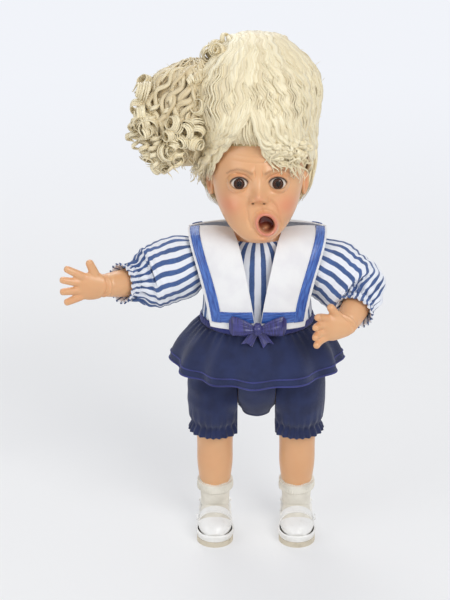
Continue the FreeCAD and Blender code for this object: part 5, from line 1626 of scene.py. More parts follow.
    def fringe(self, rng: Rng) -> Patch:
        """Curly locks over the forehead, most of them on the doll's left.

        Args:
            rng: source of the chances.

        Returns:
            The locks.
        """
        count, rows = 54, 54
        t = rng.permutation(shares(count))
        stray = rng.uniform(-1.0, 1.0, (4, count)).T
        flat = ramp(t, (-7.0, 112.0, 33.0, -5.0), (-6.0, 100.0, 36.0, -4.0), (-1.0, 87.0, 35.0, -3.0),
                    (7.0, 75.0, 29.0, -2.0), (11.0, 66.0, 26.0, -7.0), (12.0, 61.0, 25.0, -12.0))
        flat[:, 1:, 0] += stray[:, [0, 0, 1, 2, 1]] * np.array([2.0, 2.0, 4.0, 5.0, 5.0])
        flat[:, 3:, 1] += stray[:, [2, 3, 3]] * np.array([2.0, 4.0, 5.0])
        lift = np.array([0.0, 2.5, 4.5, 4.5, 3.6, 2.6]) + 1.6 * stray[:, :1] * (np.arange(6) > 0)
        path = spline(self.before(flat, lift), rows)
        u = shares(rows)[None]
        turn = TAU * rng.uniform(0.9, 1.5, count)[:, None] * smooth_step(u, 0.36, 1.0)
        turn = turn + rng.uniform(0, TAU, count)[:, None]
        size = rng.uniform(3.0, 6.4, count)[:, None] * smooth_step(u, 0.28, 0.75)
        path = path + xyz(size * np.cos(turn), -0.45 * size * np.sin(turn + 0.6), 0.75 * size * np.sin(turn))
        out = unit(xyz(0.35 * path[..., 0] / 40.0, -1.0, 0.1))
        path = self.wave(path, out, rng, 0.6, 16.0)
        return self.placed(path, out, rng.uniform(1.2, 2.6, count), 0.8, rng, 7,
                           rng.uniform(0.0, 0.35, count), 0.1, 0.35)

    def mass_locks(self, rng: Rng) -> Patch:
        """Tangled locks that wind over the loose mass beside the crown.

        Args:
            rng: source of the chances.

        Returns:
            The locks.
        """
        count = 110
        u = shares(46)[None]
        start = rng.uniform(0.0, TAU, count)[:, None]
        level = 1.76 - (1.76 - rng.uniform(0.62, 0.95, count))[:, None] * u
        angle = start + rng.uniform(-1.3, 1.3, count)[:, None] * u
        path = self.mass(angle, level, rng.uniform(-3.0, 1.0, count)[:, None])
        out = self.outward(self.mass, angle, np.clip(level, 0.7, 1.7))
        path = self.wave(path, out, rng, 2.4, 26.0) - out * 1.5
        # Painted shade: these locks lie under the curls on the doll's right side and are made much darker, spread at
        # random.
        shade = rng.uniform(0.35, 1.0, count)
        return self.placed(path, out, rng.uniform(1.4, 2.8, count), 1.0, rng, 7, shade)

    def open_curls(self, rng: Rng) -> list[Patch]:
        """Open curls that stand out of the loose mass, each of three locks side by side.

        Args:
            rng: source of the chances.

        Returns:
            The locks.
        """
        count = 42
        angle = rng.uniform(-math.pi, math.pi * 0.15, count)
        angle[count // 2:] = rng.uniform(-math.pi, math.pi, count - count // 2)
        level = rng.uniform(0.72, 1.72, count)
        out = self.outward(self.mass, angle, level)
        tilt = 0.5 * unit(np.cross(out, UP)) * rng.choice([-1.0, 1.0], count)[:, None]
        tilt = tilt + out * rng.uniform(0.2, 1.0, count)[:, None]
        tilt = unit(tilt + UP * rng.uniform(-0.6, 0.3, count)[:, None])[:, None]
        u = shares(54)[:, None]
        length = rng.uniform(4.0, 9.0, count)[:, None, None]
        axis = (self.mass(angle, level) + out * 1.4)[:, None] + tilt * (length * u - 1.5)
        radius = rng.uniform(5.0, 9.4, count)[:, None] * (1.0 - 0.55 * u.T ** 1.2)
        turns = rng.uniform(1.3, 2.1, count) * rng.choice([-1.0, 1.0], count)
        patches = []
        for beside in range(3):
            path, away = curl(axis + tilt * beside * 2.0, radius - beside * 0.5, turns,
                              rng.uniform(0.0, 0.6, count) + angle, UP)
            patches.append(self.placed(path, away, rng.uniform(1.0, 1.8, count), 0.6, rng, 6,
                                       rng.uniform(0.0, 0.5, count), 0.15, 0.35))
        return patches

    def ringlets(self, rng: Rng) -> Patch:
        """Ringlets that hang from the loose mass, drawn in towards both ends.

        Args:
            rng: source of the chances.

        Returns:
            The locks.
        """
        count, rows = 26, 70
        angle = rng.uniform(0.55 * math.pi, 1.75 * math.pi, count)
        top = self.mass(angle, rng.uniform(0.95, 1.55, count), -2.0)
        drop = rng.uniform(18.0, 38.0, count)
        low = top + xyz(-rng.uniform(0.0, 9.0, count), rng.uniform(-5.0, 5.0, count), -drop)
        low[:, 2] = np.maximum(low[:, 2], 44.0)
        bend = (top + low) / 2 + xyz(-rng.uniform(3.0, 7.0, count), 0.0, 0.0)
        grow = 0.35 + 0.65 * np.sin(np.linspace(0.25, math.pi * 0.94, rows))
        radius = rng.uniform(2.6, 4.8, count)[:, None] * grow
        path, away = curl(spline(chain(top, bend, bend, low), rows), radius, drop / 10.0,
                          rng.uniform(0.0, TAU, count), np.array([1.0, 0.2, 0.1]))
        return self.placed(path, away, rng.uniform(1.4, 2.3, count), 0.7, rng, 6,
                           rng.uniform(0.05, 0.7, count), 0.1, 0.3)

    def wisps(self, rng: Rng) -> Patch:
        """Stray single hairs that stand off the pile and the ringlets.

        Args:
            rng: source of the chances.

        Returns:
            The locks.
        """
        half = 110
        u = shares(24)[:, None]
        angle = rng.uniform(0.0, TAU, 2 * half)
        parts = ((self.crown, angle[:half], rng.uniform(1.05, 1.88, half)),
                 (self.mass, angle[half:], rng.uniform(0.72, 1.7, half)))
        seat = np.concatenate([form(around, level, 0.5) for form, around, level in parts])
        out = np.concatenate([self.outward(*part) for part in parts])
        lean = unit(out + rng.normal(0.0, 0.6, out.shape))[:, None]
        swirl = rng.normal(0.0, 1.0, out.shape)[:, None]
        reach = rng.uniform(9.0, 21.0, 2 * half)[:, None, None]
        path = seat[:, None] - lean * 1.5 + reach * (
            lean * (u - 0.72 * u ** 2) * 0.62 + unit(swirl) * 0.55 * np.sin(2.4 * u) ** 2)
        side = np.broadcast_to(unit(swirl + 0.01), path.shape)
        return self.placed(path, side, 0.19, 0.15, rng, 3, rng.uniform(0.0, 0.3, 2 * half), 0.05, 0.7, 0.0)

    def build(self) -> None:
        """Make the pieces of the hair, each from its own source of random numbers."""
        crown, strands, back, side, curls, fringe, wisps = (
            np.random.default_rng([self.seed, number]) for number in range(7))
        pieces = (
            # Each dark inner form below is painted shade under its locks.
            ("crown_locks", "hair_crown", self.painted_shade_core(self.crown, 0.97, 1.96, -3.2, 0.6),
             self.crown_locks(190, 54, (3.2, 1.5), 8, -0.6, crown)),
            ("crown_strands", "", self.crown_locks(330, 50, (0.9, 0.6), 4, 0.9, strands),
             self.top_cover(strands), self.top_curls(strands)),
            ("back_locks", "hair_back", self.painted_shade_core(self.nape, 0.14, 1.08, -2.6, 0.7),
             self.back_locks(130, (3.0, 1.4), 0.0, 7, back), self.back_locks(170, (1.0, 0.6), 1.0, 4, back)),
            ("swept_locks", "hair_side_sweep", self.swept_side(side), self.loose_side(side), self.temple(side)),
            ("ringlets", "hair_ringlets", self.painted_shade_core(self.mass, 0.68, 1.68, -5.5, 0.95),
             self.mass_locks(curls), *self.open_curls(curls), self.ringlets(curls)),
            ("fringe_curls", "hair_fringe", self.fringe(fringe)),
            ("stray_hairs", "", self.wisps(wisps)),
        )
        for name, node, *patches in pieces:
            nodes = (node,) if node else ()
            Piece(name, self.stance, *patches).build(self.wardrobe.hair, "head", "hair_blond", *nodes)
        dress("wig_cap", self.wardrobe.net)


# Arms, sleeves and dress


TORSO_ROWS = (
    (114.0, 11.0, 13.0, 13.0), (121.2, 15.6, 19.4, 20.2), (136.5, 29.4, 27.4, 28.1), (160.0, 44.2, 33.8, 31.7),
    (184.8, 46.5, 36.4, 30.2), (210.6, 43.2, 33.8, 27.0), (236.4, 41.9, 29.5, 25.6), (257.0, 40.5, 23.8, 22.3),
    (267.8, 34.0, 19.4, 19.4), (275.0, 20.0, 16.9, 16.9),
)


def torso_form(angle: Array, height: Array, grow: float | Array) -> Array:
    """Body of the doll: x = wide cos(a), y = front or back sin(a) at each height.

    Args:
        angle: angles from the doll's left, counter-clockwise from above.
        height: heights in millimetres.
        grow: distance outside the vinyl.

    Returns:
        Points of the figure's frame.
    """
    wide, front, back = Profile(TORSO_ROWS).at(height)
    along = np.sin(angle)
    return xyz((wide + grow) * np.cos(angle), (np.where(along > 0, back, front) + grow) * along, height)


def even_map(points: Array, wide: float, tall: float) -> Array:
    """Map of a round band in metres, with one column more than its grid."""
    rows, columns = points.shape[:2]
    return xyz(np.arange(columns + 1) / columns * wide, np.linspace(0.0, tall, rows)[:, None])


def mesh_rows(mesh: bpy.types.Mesh, name: str) -> Array:
    """Places or normals of a mesh's points, one row each.

    Args:
        mesh: the mesh.
        name: co for places, normal for normals.

    Returns:
        One row for each point.
    """
    values = np.empty(len(mesh.vertices) * 3, dtype=np.float32)
    mesh.vertices.foreach_get(name, values)
    return values.reshape(-1, 3).astype(float)


@dataclass
class Arm:
    """One vinyl arm with its puffed sleeve and its cuff. Sizes in millimetres."""

    stance: Stance
    wardrobe: Wardrobe
    side: Side
    seat: tuple[float, float] = (36.05, 251.0)
    shoulder: float = 10.4
    upper: float = 50.0
    fore: float = 42.0
    sleeve_radius: float = 25.0
    root_radius: float = 16.5
    cuff_radius: float = 13.8
    cuff_wide: float = 7.0
    stripe: float = 8.8
    columns: int = 216
    rows: int = 130

    def stations(self) -> Array:
        """Seat, shoulder, elbow and wrist of the arm."""
        ways = {Side.RIGHT: ((-0.93, -0.12, -0.33), (-0.76, -0.63, 0.16)),
                Side.LEFT: ((0.82, -0.26, -0.51), (-0.40, -0.87, -0.28))}[self.side]
        upper, fore = unit(np.array(ways))
        seat = np.array([self.side.way * self.seat[0], 0.0, self.seat[1]])
        shoulder = seat + np.array([self.side.way * self.shoulder, 0.0, 0.0])
        elbow = shoulder + upper * self.upper
        return np.stack([seat, shoulder, elbow, elbow + fore * self.fore])

    def route(self) -> Array:
        """Middle line of the sleeve, from the armhole to the cuff."""
        along = spread(self.stations(), 25)
        inside = along[:1] - np.array([self.side.way * 5.0, 0.0, 0.0])
        return spline(np.concatenate([inside, spread(along[2:19], 10)]), self.rows)

    def sleeve(self) -> Patch:
        """Puffed sleeve: the radius swells between armhole and cuff, with gathers at both ends.

        Gathers are size * cos(n a) that fade away from the ends; creases at the elbow are waves along the
        sleeve on the inside of the bend; the rest is smooth unevenness.
        """
        v, a, seed = shares(self.rows)[:, None], circle(self.columns)[None], 5 + self.side.value
        ends = np.interp(v, [0.0, 0.5, 1.0], [self.root_radius, self.sleeve_radius, self.cuff_radius])
        puff = smooth_step(v, -0.02, 0.30) * (1.0 - smooth_step(v, 0.72, 1.0) ** 1.4)
        swell = np.sin(math.pi * v)
        radius = ends + (self.sleeve_radius - ends) * puff + 1.8 * swell ** 2
        radius = radius + np.exp(-v / 0.12) * 1.3 * np.cos(19 * a + 1.3 * np.sin(3 * a))
        radius = radius + np.exp(-(1 - v) / 0.16) * 1.6 * np.cos(17 * a + 1.6 * np.sin(2 * a + 1.0))
        radius = radius + 2.1 * ripple(a / TAU * 2.2 + 0.3 * v, v * 2.4, seed) * swell ** 0.6
        radius = radius + 0.7 * ripple(a / TAU * 6.0, v * 7.0, seed + 20) * swell ** 0.4
        points = band(self.route(), np.maximum(radius, self.cuff_radius - 1.5), UP,
                      np.array([self.side.way, 0.0, 0.0]))
        near = bell(np.linalg.norm(points - self.stations()[2], axis=-1), 0.0, 26.0)
        crease = 1.3 * np.sin(TAU * v * 9.0 + 2.2 * np.sin(a * 2.0 + 0.7)) * near
        points = points + grid_normals(points, True) * crease[..., None]
        wide = round(TAU * self.sleeve_radius / self.stripe) * self.stripe * METRE
        uv = even_map(points, wide, 0.105)
        drift = 0.0016 * ripple(uv[..., 0] * 16.0, uv[..., 1] * 22.0, seed + 40, 5)
        drift[:, -1] = drift[:, 0]
        uv[..., 0] += drift
        return double_wall(points, 0.9, uv)

    def cuff(self) -> Patch:
        """Elastic cuff with a small frill: radius plus gathers that grow towards the hand."""
        path = self.route()
        v, a = shares(26)[:, None], circle(168)[None]
        line = path[-1] + unit(path[-1] - path[-4]) * (-2.0 + (self.cuff_wide + 3.0) * v)
        base = self.cuff_radius + 0.4 - 1.1 * bell(v, 0.35, 0.10) + 1.9 * smooth_step(v, 0.5, 1.0)
        gather = (0.28 + 0.9 * smooth_step(v, 0.45, 1.0)) * np.cos(21 * a + np.sin(3 * a))
        points = band(line, base + gather, UP)
        return double_wall(points, 0.8, even_map(points, 18 * self.stripe * METRE, 0.012))

    def skin(self) -> None:
        """Arm and hand: the moulding's own mesh, made even and smooth, with creases round the wrist."""
        node = f"{self.side.word}_arm"
        made = show(f"{node}_skin", bpy.data.objects[node].data.copy())
        tidy_mesh(made, 2e-6)
        remesh = made.modifiers.new("even", "REMESH")
        remesh.mode, remesh.voxel_size, remesh.adaptivity = "VOXEL", 0.0007, 0.0
        soft = made.modifiers.new("soft", "SMOOTH")
        soft.iterations, soft.factor = 14, 0.5
        mesh = bpy.data.meshes.new_from_object(made.evaluated_get(bpy.context.evaluated_depsgraph_get()))
        made.modifiers.clear()
        made.data = mesh
        self.crease(mesh)
        dress(made.name, self.wardrobe.skin)
        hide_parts(node)
        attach(made, node)
        LOG.info("%s: %d faces", made.name, len(mesh.polygons))

    def crease(self, mesh: bpy.types.Mesh) -> None:
        """Press creases round the wrist of a mesh: points move in by depth * exp(-(distance / width)^2).

        Args:
            mesh: the arm's mesh, which is changed.
        """
        place, normal = mesh_rows(mesh, "co"), mesh_rows(mesh, "normal")
        elbow, wrist = self.stance.place(self.stations())[2:]
        for offset, depth, wide in ((0.0015, 0.0011, 0.0011), (-0.0025, 0.0005, 0.0009)):
            along = (place - wrist) @ unit(wrist - elbow)
            place = place - normal * (depth * bell(along, offset, wide))[:, None]
        mesh.vertices.foreach_set("co", place.astype(np.float32).ravel())
        mesh.update()

    def build(self) -> None:
        """Make the sleeve, the cuff and the arm."""
        word = self.side.word
        striped = self.wardrobe.striped
        sleeve = Piece(f"{word}_sleeve_cloth", self.stance, self.sleeve()).build(
            striped, "", "striped_cotton", f"{word}_sleeve")
        edge, free = (self.stance.place(np.array([self.side.way * x, 0.0, self.seat[1]])) for x in (39.0, 50.0))
        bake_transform(sleeve)
        Piece(f"{word}_cuff_cloth", self.stance, self.cuff()).build(
            striped, f"{word}_arm", "cuff_cotton", f"{word}_cuff")
        self.skin()


@dataclass
class Dress:
    """Striped bodice, waistband, gathered navy skirt and bloomers. Sizes in millimetres."""

    stance: Stance
    wardrobe: Wardrobe
    waist: float = 198.0
    neck: float = 273.2
    hem: float = 161.2
    flare: tuple[float, float] = (70.0, 60.0)
    fold: float = 3.2
    folds: int = 12
    gap: float = 1.2
    stripe: float = 8.8
    hip: float = 138.0
    leg_centre: float = 35.2
    bloomer_top: float = 160.0
    bloomer_hem: float = 98.0
    seat_low: float = 112.9
    strip: float = 15.5
    inner: float = 16.0

    def bodice(self) -> Patch:
        """Bodice: the body's form grown by the cloth, gathered softly at waist and neck, with armholes."""
        v, a = shares(90)[:, None], circle(240)[None]
        pleat = 0.45 * np.cos(26 * a + 1.2 * np.sin(5 * a)) * (np.exp(-v / 0.16) + 0.8 * np.exp(-(1 - v) / 0.10))
        soft = 0.35 * ripple(a / TAU * 5.0, v * 3.0, 61) * np.sin(math.pi * v)
        points = torso_form(a, self.waist + (self.neck - self.waist) * v,
                            self.gap + 0.35 + np.maximum(pleat + soft, -0.5))
        open_ = (np.hypot(points[..., 1], points[..., 2] - 251.0) < 12.4) & (np.abs(points[..., 0]) > 30.0)
        return Patch(points, uv=even_map(points, 28 * self.stripe * METRE, 0.075), keep=~open_[:-1])

    def skirt_ring(self, share: Array, a: Array) -> Array:
        """Skirt: an oval that flares with sin(share), folds that grow to the hem, fine gathers at the waist.

        Args:
            share: 0 at the hem, 1 at the waist.
            a: angles.

        Returns:
            Grid of points.
        """
        down = 1.0 - share
        flare = np.sin(down * math.pi / 2) ** 0.9
        wide, front, back = (value + 3.0 for value in Profile(TORSO_ROWS).at(self.waist))
        fold = self.fold * (0.15 + 0.85 * down) * np.cos(self.folds * a + 0.5 * np.sin(3 * a))
        fold += 0.9 * np.exp(-down / 0.16) * np.cos(44 * a) + 0.9 * ripple(a / TAU * 7.0, down * 1.2, 71) * down
        deep = np.where(np.sin(a) > 0, back, front)
        deep = deep + (self.flare[1] - deep) * flare
        height = self.hem + (self.waist - 0.3 - self.hem) * share + 0.5 * np.cos(self.folds * a) * down
        return xyz((wide + (self.flare[0] - wide) * flare + fold) * np.cos(a), (deep + fold) * np.sin(a), height)

    def skirt(self) -> Patch:
        """Skirt with a turned hem."""
        points = self.skirt_ring(shares(64)[:, None], circle(360)[None])
        return double_wall(points, 0.9, even_map(points, 0.52, 0.04))

    def piping(self, share: float, lift: float, radius: float) -> Patch:
        """Round cord sewn along the skirt: ring + out * (lift + radius * cos(s)) + up * radius * sin(s).

        Args:
            share: share of the skirt's height.
            lift: how far the cord's middle stands outside the skirt.
            radius: radius of the cord.

        Returns:
            The cord, drawn as rows round its section and columns along its ring.
        """
        ring = self.skirt_ring(np.array([[share]]), circle(360)[None])[0]
        out = unit(ring * np.array([1.0, 1.0, 0.0]))
        s = np.linspace(0.0, TAU, 11)[:, None, None]
        points = ring + out * (lift + radius * np.cos(s)) + UP * radius * np.sin(s)
        return Patch(points, uv=even_map(points, 0.40, 0.008))

    def waistband(self) -> Patch:
        """Narrow band over the waist seam, slightly rounded, with fine puckers."""
        v, a = shares(14)[:, None], circle(300)[None]
        points = torso_form(a, self.waist - 0.6 + 6.2 * v,
                            2.4 + 0.7 * np.sin(math.pi * v) + 0.12 * np.cos(60 * a))
        return double_wall(points, 1.1, even_map(points, 0.28, 0.0065))

    def bloomer_seat(self) -> Patch:
        """Seat of the bloomers: the body's form, narrowed between the thighs to a strip."""
        v, a = shares(90)[:, None], circle(180)[None]
        height = self.seat_low + (self.waist - 1.0 - self.seat_low) * v
        points = torso_form(a, np.maximum(height, 114.2), 1.1 + 0.35 * ripple(a / TAU * 5, v * 5, 81))
        points[..., 2] = height
        opens = np.where(points[..., 1] > 0.0, self.hip + 6.0, self.hip + 17.5)
        limit = self.strip + 60.0 * smooth_step(height - opens, 0.0, 5.0)
        points[..., 0] = np.clip(points[..., 0], -limit, limit)
        points = np.concatenate([np.repeat(points[:1].mean(axis=1, keepdims=True), 180, axis=1), points])
        return Patch(points, uv=even_map(points, 0.26, 0.09))

    def bloomer_leg(self, way: float) -> Patch:
        """Leg of the bloomers, full at the thigh, with an elastic and a frill above the knee.

        Args:
            way: -1 for the doll's right leg, 1 for its left.

        Returns:
            The leg, squared off and cut flat towards the other leg.
        """
        v, a = shares(84)[:, None], circle(192)[None]
        drawn, frill = bell(v, 0.13, 0.05), smooth_step(0.11 - v, 0.0, 0.11)
        puff = 20.3 + 2.9 * np.sin(math.pi * np.clip((v - 0.10) / 0.9, 0, 1)) ** 0.7 - 1.6 * drawn + 1.6 * frill
        gather = (0.6 * drawn + 1.1 * frill + 0.5 * np.exp(-np.abs(v - 0.2) / 0.12)) * np.cos(23 * a + np.sin(4 * a))
        soft = 0.9 * ripple(a / TAU * 5.0, v * 3.0, 91 + int(way)) * smooth_step(v, 0.15, 0.5)
        across, along = np.cos(a), np.sin(a)
        side = across * way
        square = np.maximum(np.abs(across), np.abs(along)) ** -0.84 - 1.0
        reach = (puff + gather * 0.8 + soft) * (1.0 + smooth_step(v, 0.30, 0.55) * (side < 0) * square)
        flat = np.minimum(reach, (self.leg_centre - self.inner) / np.maximum(-side, 0.02))
        reach = np.where(side < 0, flat, reach)
        low = self.bloomer_hem - 3.0
        points = xyz(way * self.leg_centre + reach * across, reach * along, low + (self.bloomer_top - low) * v)
        return double_wall(points, 0.8, even_map(points, 0.15, 0.06))

    def build(self) -> None:
        """Make the cloth of the dress."""
        wear = self.wardrobe
        made = Piece("bodice_cloth", self.stance, self.bodice()).build(
            wear.striped, "torso", "striped_cotton", "dress_bodice")
        made.modifiers.new("cloth", "SOLIDIFY").thickness = 0.0008
        made = Piece("skirt_cloth", self.stance, self.skirt()).build(wear.navy, "torso", "navy_cotton", "skirt")
        Piece("skirt_piping", self.stance, self.piping(0.0, 0.2, 0.75), self.piping(0.17, 0.3, 0.6)).build(
            wear.piping, "torso", "piping")
        Piece("waistband_cloth", self.stance, self.waistband()).build(
            wear.piping, "torso", "piping", "waistband")
        made = Piece("bloomer_seat_cloth", self.stance, self.bloomer_seat()).build(
            wear.navy, "torso", "navy_cotton", "bloomer_seat")
        for side in Side:
            made = Piece(f"{side.word}_bloomer_cloth", self.stance, self.bloomer_leg(side.way)).build(
                wear.navy, "", "navy_cotton", f"{side.word}_bloomer_leg")
            top, low = (self.stance.place(np.array([side.way * self.leg_centre, 0.0, self.hip + rise]))
                        for rise in (15.0, -7.0))
            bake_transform(made)
        dress("dress_snaps", wear.button)


# Sailor collar and bow


FRONT_TABLE = (
    ((0.32, 0.10, 0.004), (0.52, 0.16, 0.000), (0.78, 0.20, 0.008), (1.00, 0.22, 0.034)),
    ((0.32, -0.34, 0.000), (0.52, -0.34, 0.004), (0.78, -0.26, 0.022), (0.985, -0.20, 0.056)),
    ((0.255, -0.70, 0.090), (0.47, -0.68, 0.110), (0.72, -0.60, 0.140), (0.93, -0.50, 0.175)),
    ((0.185, -0.90, 0.310), (0.40, -0.90, 0.340), (0.63, -0.82, 0.360), (0.84, -0.70, 0.390)),
    ((0.115, -1.01, 0.580), (0.32, -1.02, 0.590), (0.54, -0.96, 0.600), (0.76, -0.84, 0.620)),
    ((0.065, -1.06, 0.800), (0.27, -1.07, 0.800), (0.49, -1.02, 0.805), (0.71, -0.91, 0.810)),
    ((0.025, -1.09, 1.000), (0.22, -1.10, 0.990), (0.45, -1.05, 0.985), (0.67, -0.95, 0.975)),
)
BACK_TABLE = (
    ((-1.00, 0.30, 0.034), (-0.52, 0.46, 0.014), (0.00, 0.50, 0.022), (0.52, 0.46, 0.014), (1.00, 0.30, 0.034)),
    ((-0.98, 0.52, 0.090), (-0.50, 0.66, 0.060), (0.00, 0.70, 0.050), (0.50, 0.66, 0.060), (0.98, 0.52, 0.090)),
    ((-0.92, 0.70, 0.220), (-0.48, 0.80, 0.220), (0.00, 0.84, 0.220), (0.48, 0.80, 0.220), (0.92, 0.70, 0.220)),
    ((-0.84, 0.80, 0.450), (-0.46, 0.88, 0.450), (0.00, 0.91, 0.450), (0.46, 0.88, 0.450), (0.84, 0.80, 0.450)),
    ((-0.78, 0.86, 0.700), (-0.44, 0.94, 0.700), (0.00, 0.97, 0.700), (0.44, 0.94, 0.700), (0.78, 0.86, 0.700)),
)


@dataclass
class Collar:
    """White sailor collar in two front panels and a square back, with satin ribbon. Sizes in millimetres."""

    stance: Stance
    wardrobe: Wardrobe
    half_wide: float = 57.0
    deep: float = 38.2
    top: float = 277.4
    drop: float = 72.4
    thick: float = 1.2
    ribbon: float = 8.5
    ribbon_thick: float = 0.5
    inset: float = 0.07
    stitch: float = 0.16
    neck_clear: float = 1.1

    def surface(self, table: tuple, way: float, down: Array, across: Array) -> Array:
        """Smooth surface of one panel, sagging a little and cut down at its neck edge.

        Args:
            table: points of the panel.
            way: side of the panel.
            down: shares of its length.
            across: shares of its width.

        Returns:
            Grid of points.
        """
        grid = np.array(table) * np.array([way * self.half_wide, self.deep, -self.drop])
        points = surface_through(grid + UP * self.top, down, across)
        down, across = down[:, None], across[None]
        sag = 0.9 * ripple(across * 1.6 + 0.4 * way, down * 2.2, 101 + int(way), 5)
        points[..., 1] += sag * np.sin(math.pi * down) * across
        if table is FRONT_TABLE:
            points[..., 2] -= self.neck_clear * bell(down, 0.0, 0.30) * (1.0 - smooth_step(across, 0.0, 0.5))
        return points if way > 0 else points[:, ::-1]

    @staticmethod
    def facing(surface: Array) -> Array:
        """Direction of each point away from the body."""
        out = grid_normals(surface, False)
        return out * np.sign(np.sum(out * (surface - UP * 235.0)))

    def closed(self, surface: Array, uv: Array, high: float) -> Patch:
        """Closed sheet on the outer side of a surface, faces outwards whichever way its grid runs.

        Args:
            surface: grid of points.
            uv: its flat map.
            high: thickness of the sheet.

        Returns:
            The closed sheet.
        """
        if np.sum(grid_normals(surface, False) * self.facing(surface)) < 0:
            surface, uv = surface[:, ::-1], uv[:, ::-1]
        return sheet_wall(surface, 0.0, high, uv)

    def panel(self, table: tuple, way: float, wide: float, long_: float) -> Patch:
        """White cloth of one panel, with a row of stitching pressed in near its edge.

        Args:
            table: points of the panel.
            way: side of the panel.
            wide: width of the cloth in metres.
            long_: length of the cloth in metres.

        Returns:
            The closed panel.
        """
        down, across = shares(170), shares(110)
        middle = self.surface(table, way, down, across)
        u, v = np.meshgrid(across * wide, down * long_)
        edge = np.minimum(np.minimum(u, wide - u), np.minimum(v, long_ - v)) / METRE
        groove = self.stitch * bell(edge, 1.7, 0.45) * (0.65 + 0.35 * np.cos(TAU * (u + v) / METRE / 2.4))
        return self.closed(middle - self.facing(middle) * groove[..., None], xyz(u, v), self.thick)

    def tape(self, table: tuple, way: float, across: tuple[float, float], down: tuple[float, float],
             wide: float, long_: float, turn: bool = False) -> Patch:
        """Strip of satin on a panel, with a slight crown and a puckered edge.

        Args:
            table: points of the panel.
            way: side of the panel.
            across: first and last share of the width.
            down: first and last share of the length.
            wide: width of the strip in metres.
            long_: length of the strip in metres.
            turn: the strip runs across the panel, and its map is turned.

        Returns:
            The closed strip.
        """
        rows, columns = (24, 150) if turn else (150, 24)
        points = self.surface(table, way, np.linspace(*down, rows), np.linspace(*across, columns))
        share, run = shares(columns), shares(rows)[:, None]
        cross, along = (run * wide, share * long_) if turn else (share * wide, run * long_)
        crown = 0.35 * np.sin(math.pi * cross / wide)
        pucker = 0.10 * np.sin(TAU * along / 0.0042 + 2.0 * np.sin(along * 260.0)) * np.cos(math.pi * cross / wide) ** 2
        points = points + self.facing(points) * (crown + pucker + self.thick + 0.10)[..., None]
        return self.closed(points, xyz(cross, along), self.ribbon_thick)

    def build(self) -> None:
        """Make the panels, the back flap and their ribbons."""
        share = self.ribbon / (self.half_wide * 0.72)
        low, edge, half = self.ribbon / 70.0, 1.0 - self.inset, self.inset / 2
        narrow, back_low = share * 0.36, edge - low * 1.4
        ribbon_wide = self.ribbon * METRE
        sets = [(side.word, "front", (0.041, 0.088), self.panel(FRONT_TABLE, side.way, 0.040, 0.085), (
            self.tape(FRONT_TABLE, side.way, (edge - share, edge), (0.02, edge), ribbon_wide, 0.08),
            self.tape(FRONT_TABLE, side.way, (0.02, edge - share * 0.98), (edge - low, edge - 0.004),
                      ribbon_wide, 0.028, True))) for side in Side]
        tapes = [self.tape(BACK_TABLE, 1.0, (first, first + narrow), (0.03, back_low + 0.004), ribbon_wide, 0.045)
                 for first in (half, 1.0 - half - narrow)]
        tapes.append(self.tape(BACK_TABLE, 1.0, (half, 1.0 - half), (back_low, edge), ribbon_wide, 0.092, True))
        sets.append(("back", "", (0.104, 0.058), self.panel(BACK_TABLE, 1.0, 0.102, 0.055), tapes))
        for word, place, flat, panel, strips in sets:
            node = f"collar_{word}_{place}".rstrip("_")
            made = Piece(f"collar_{word}_panel", self.stance, panel).build(
                self.wardrobe.white, "torso", "collar_cotton", node)
            Piece(f"collar_{word}_satin", self.stance, *strips).build(
                self.wardrobe.satin, "torso", "blue_satin", f"collar_{word}_ribbon")


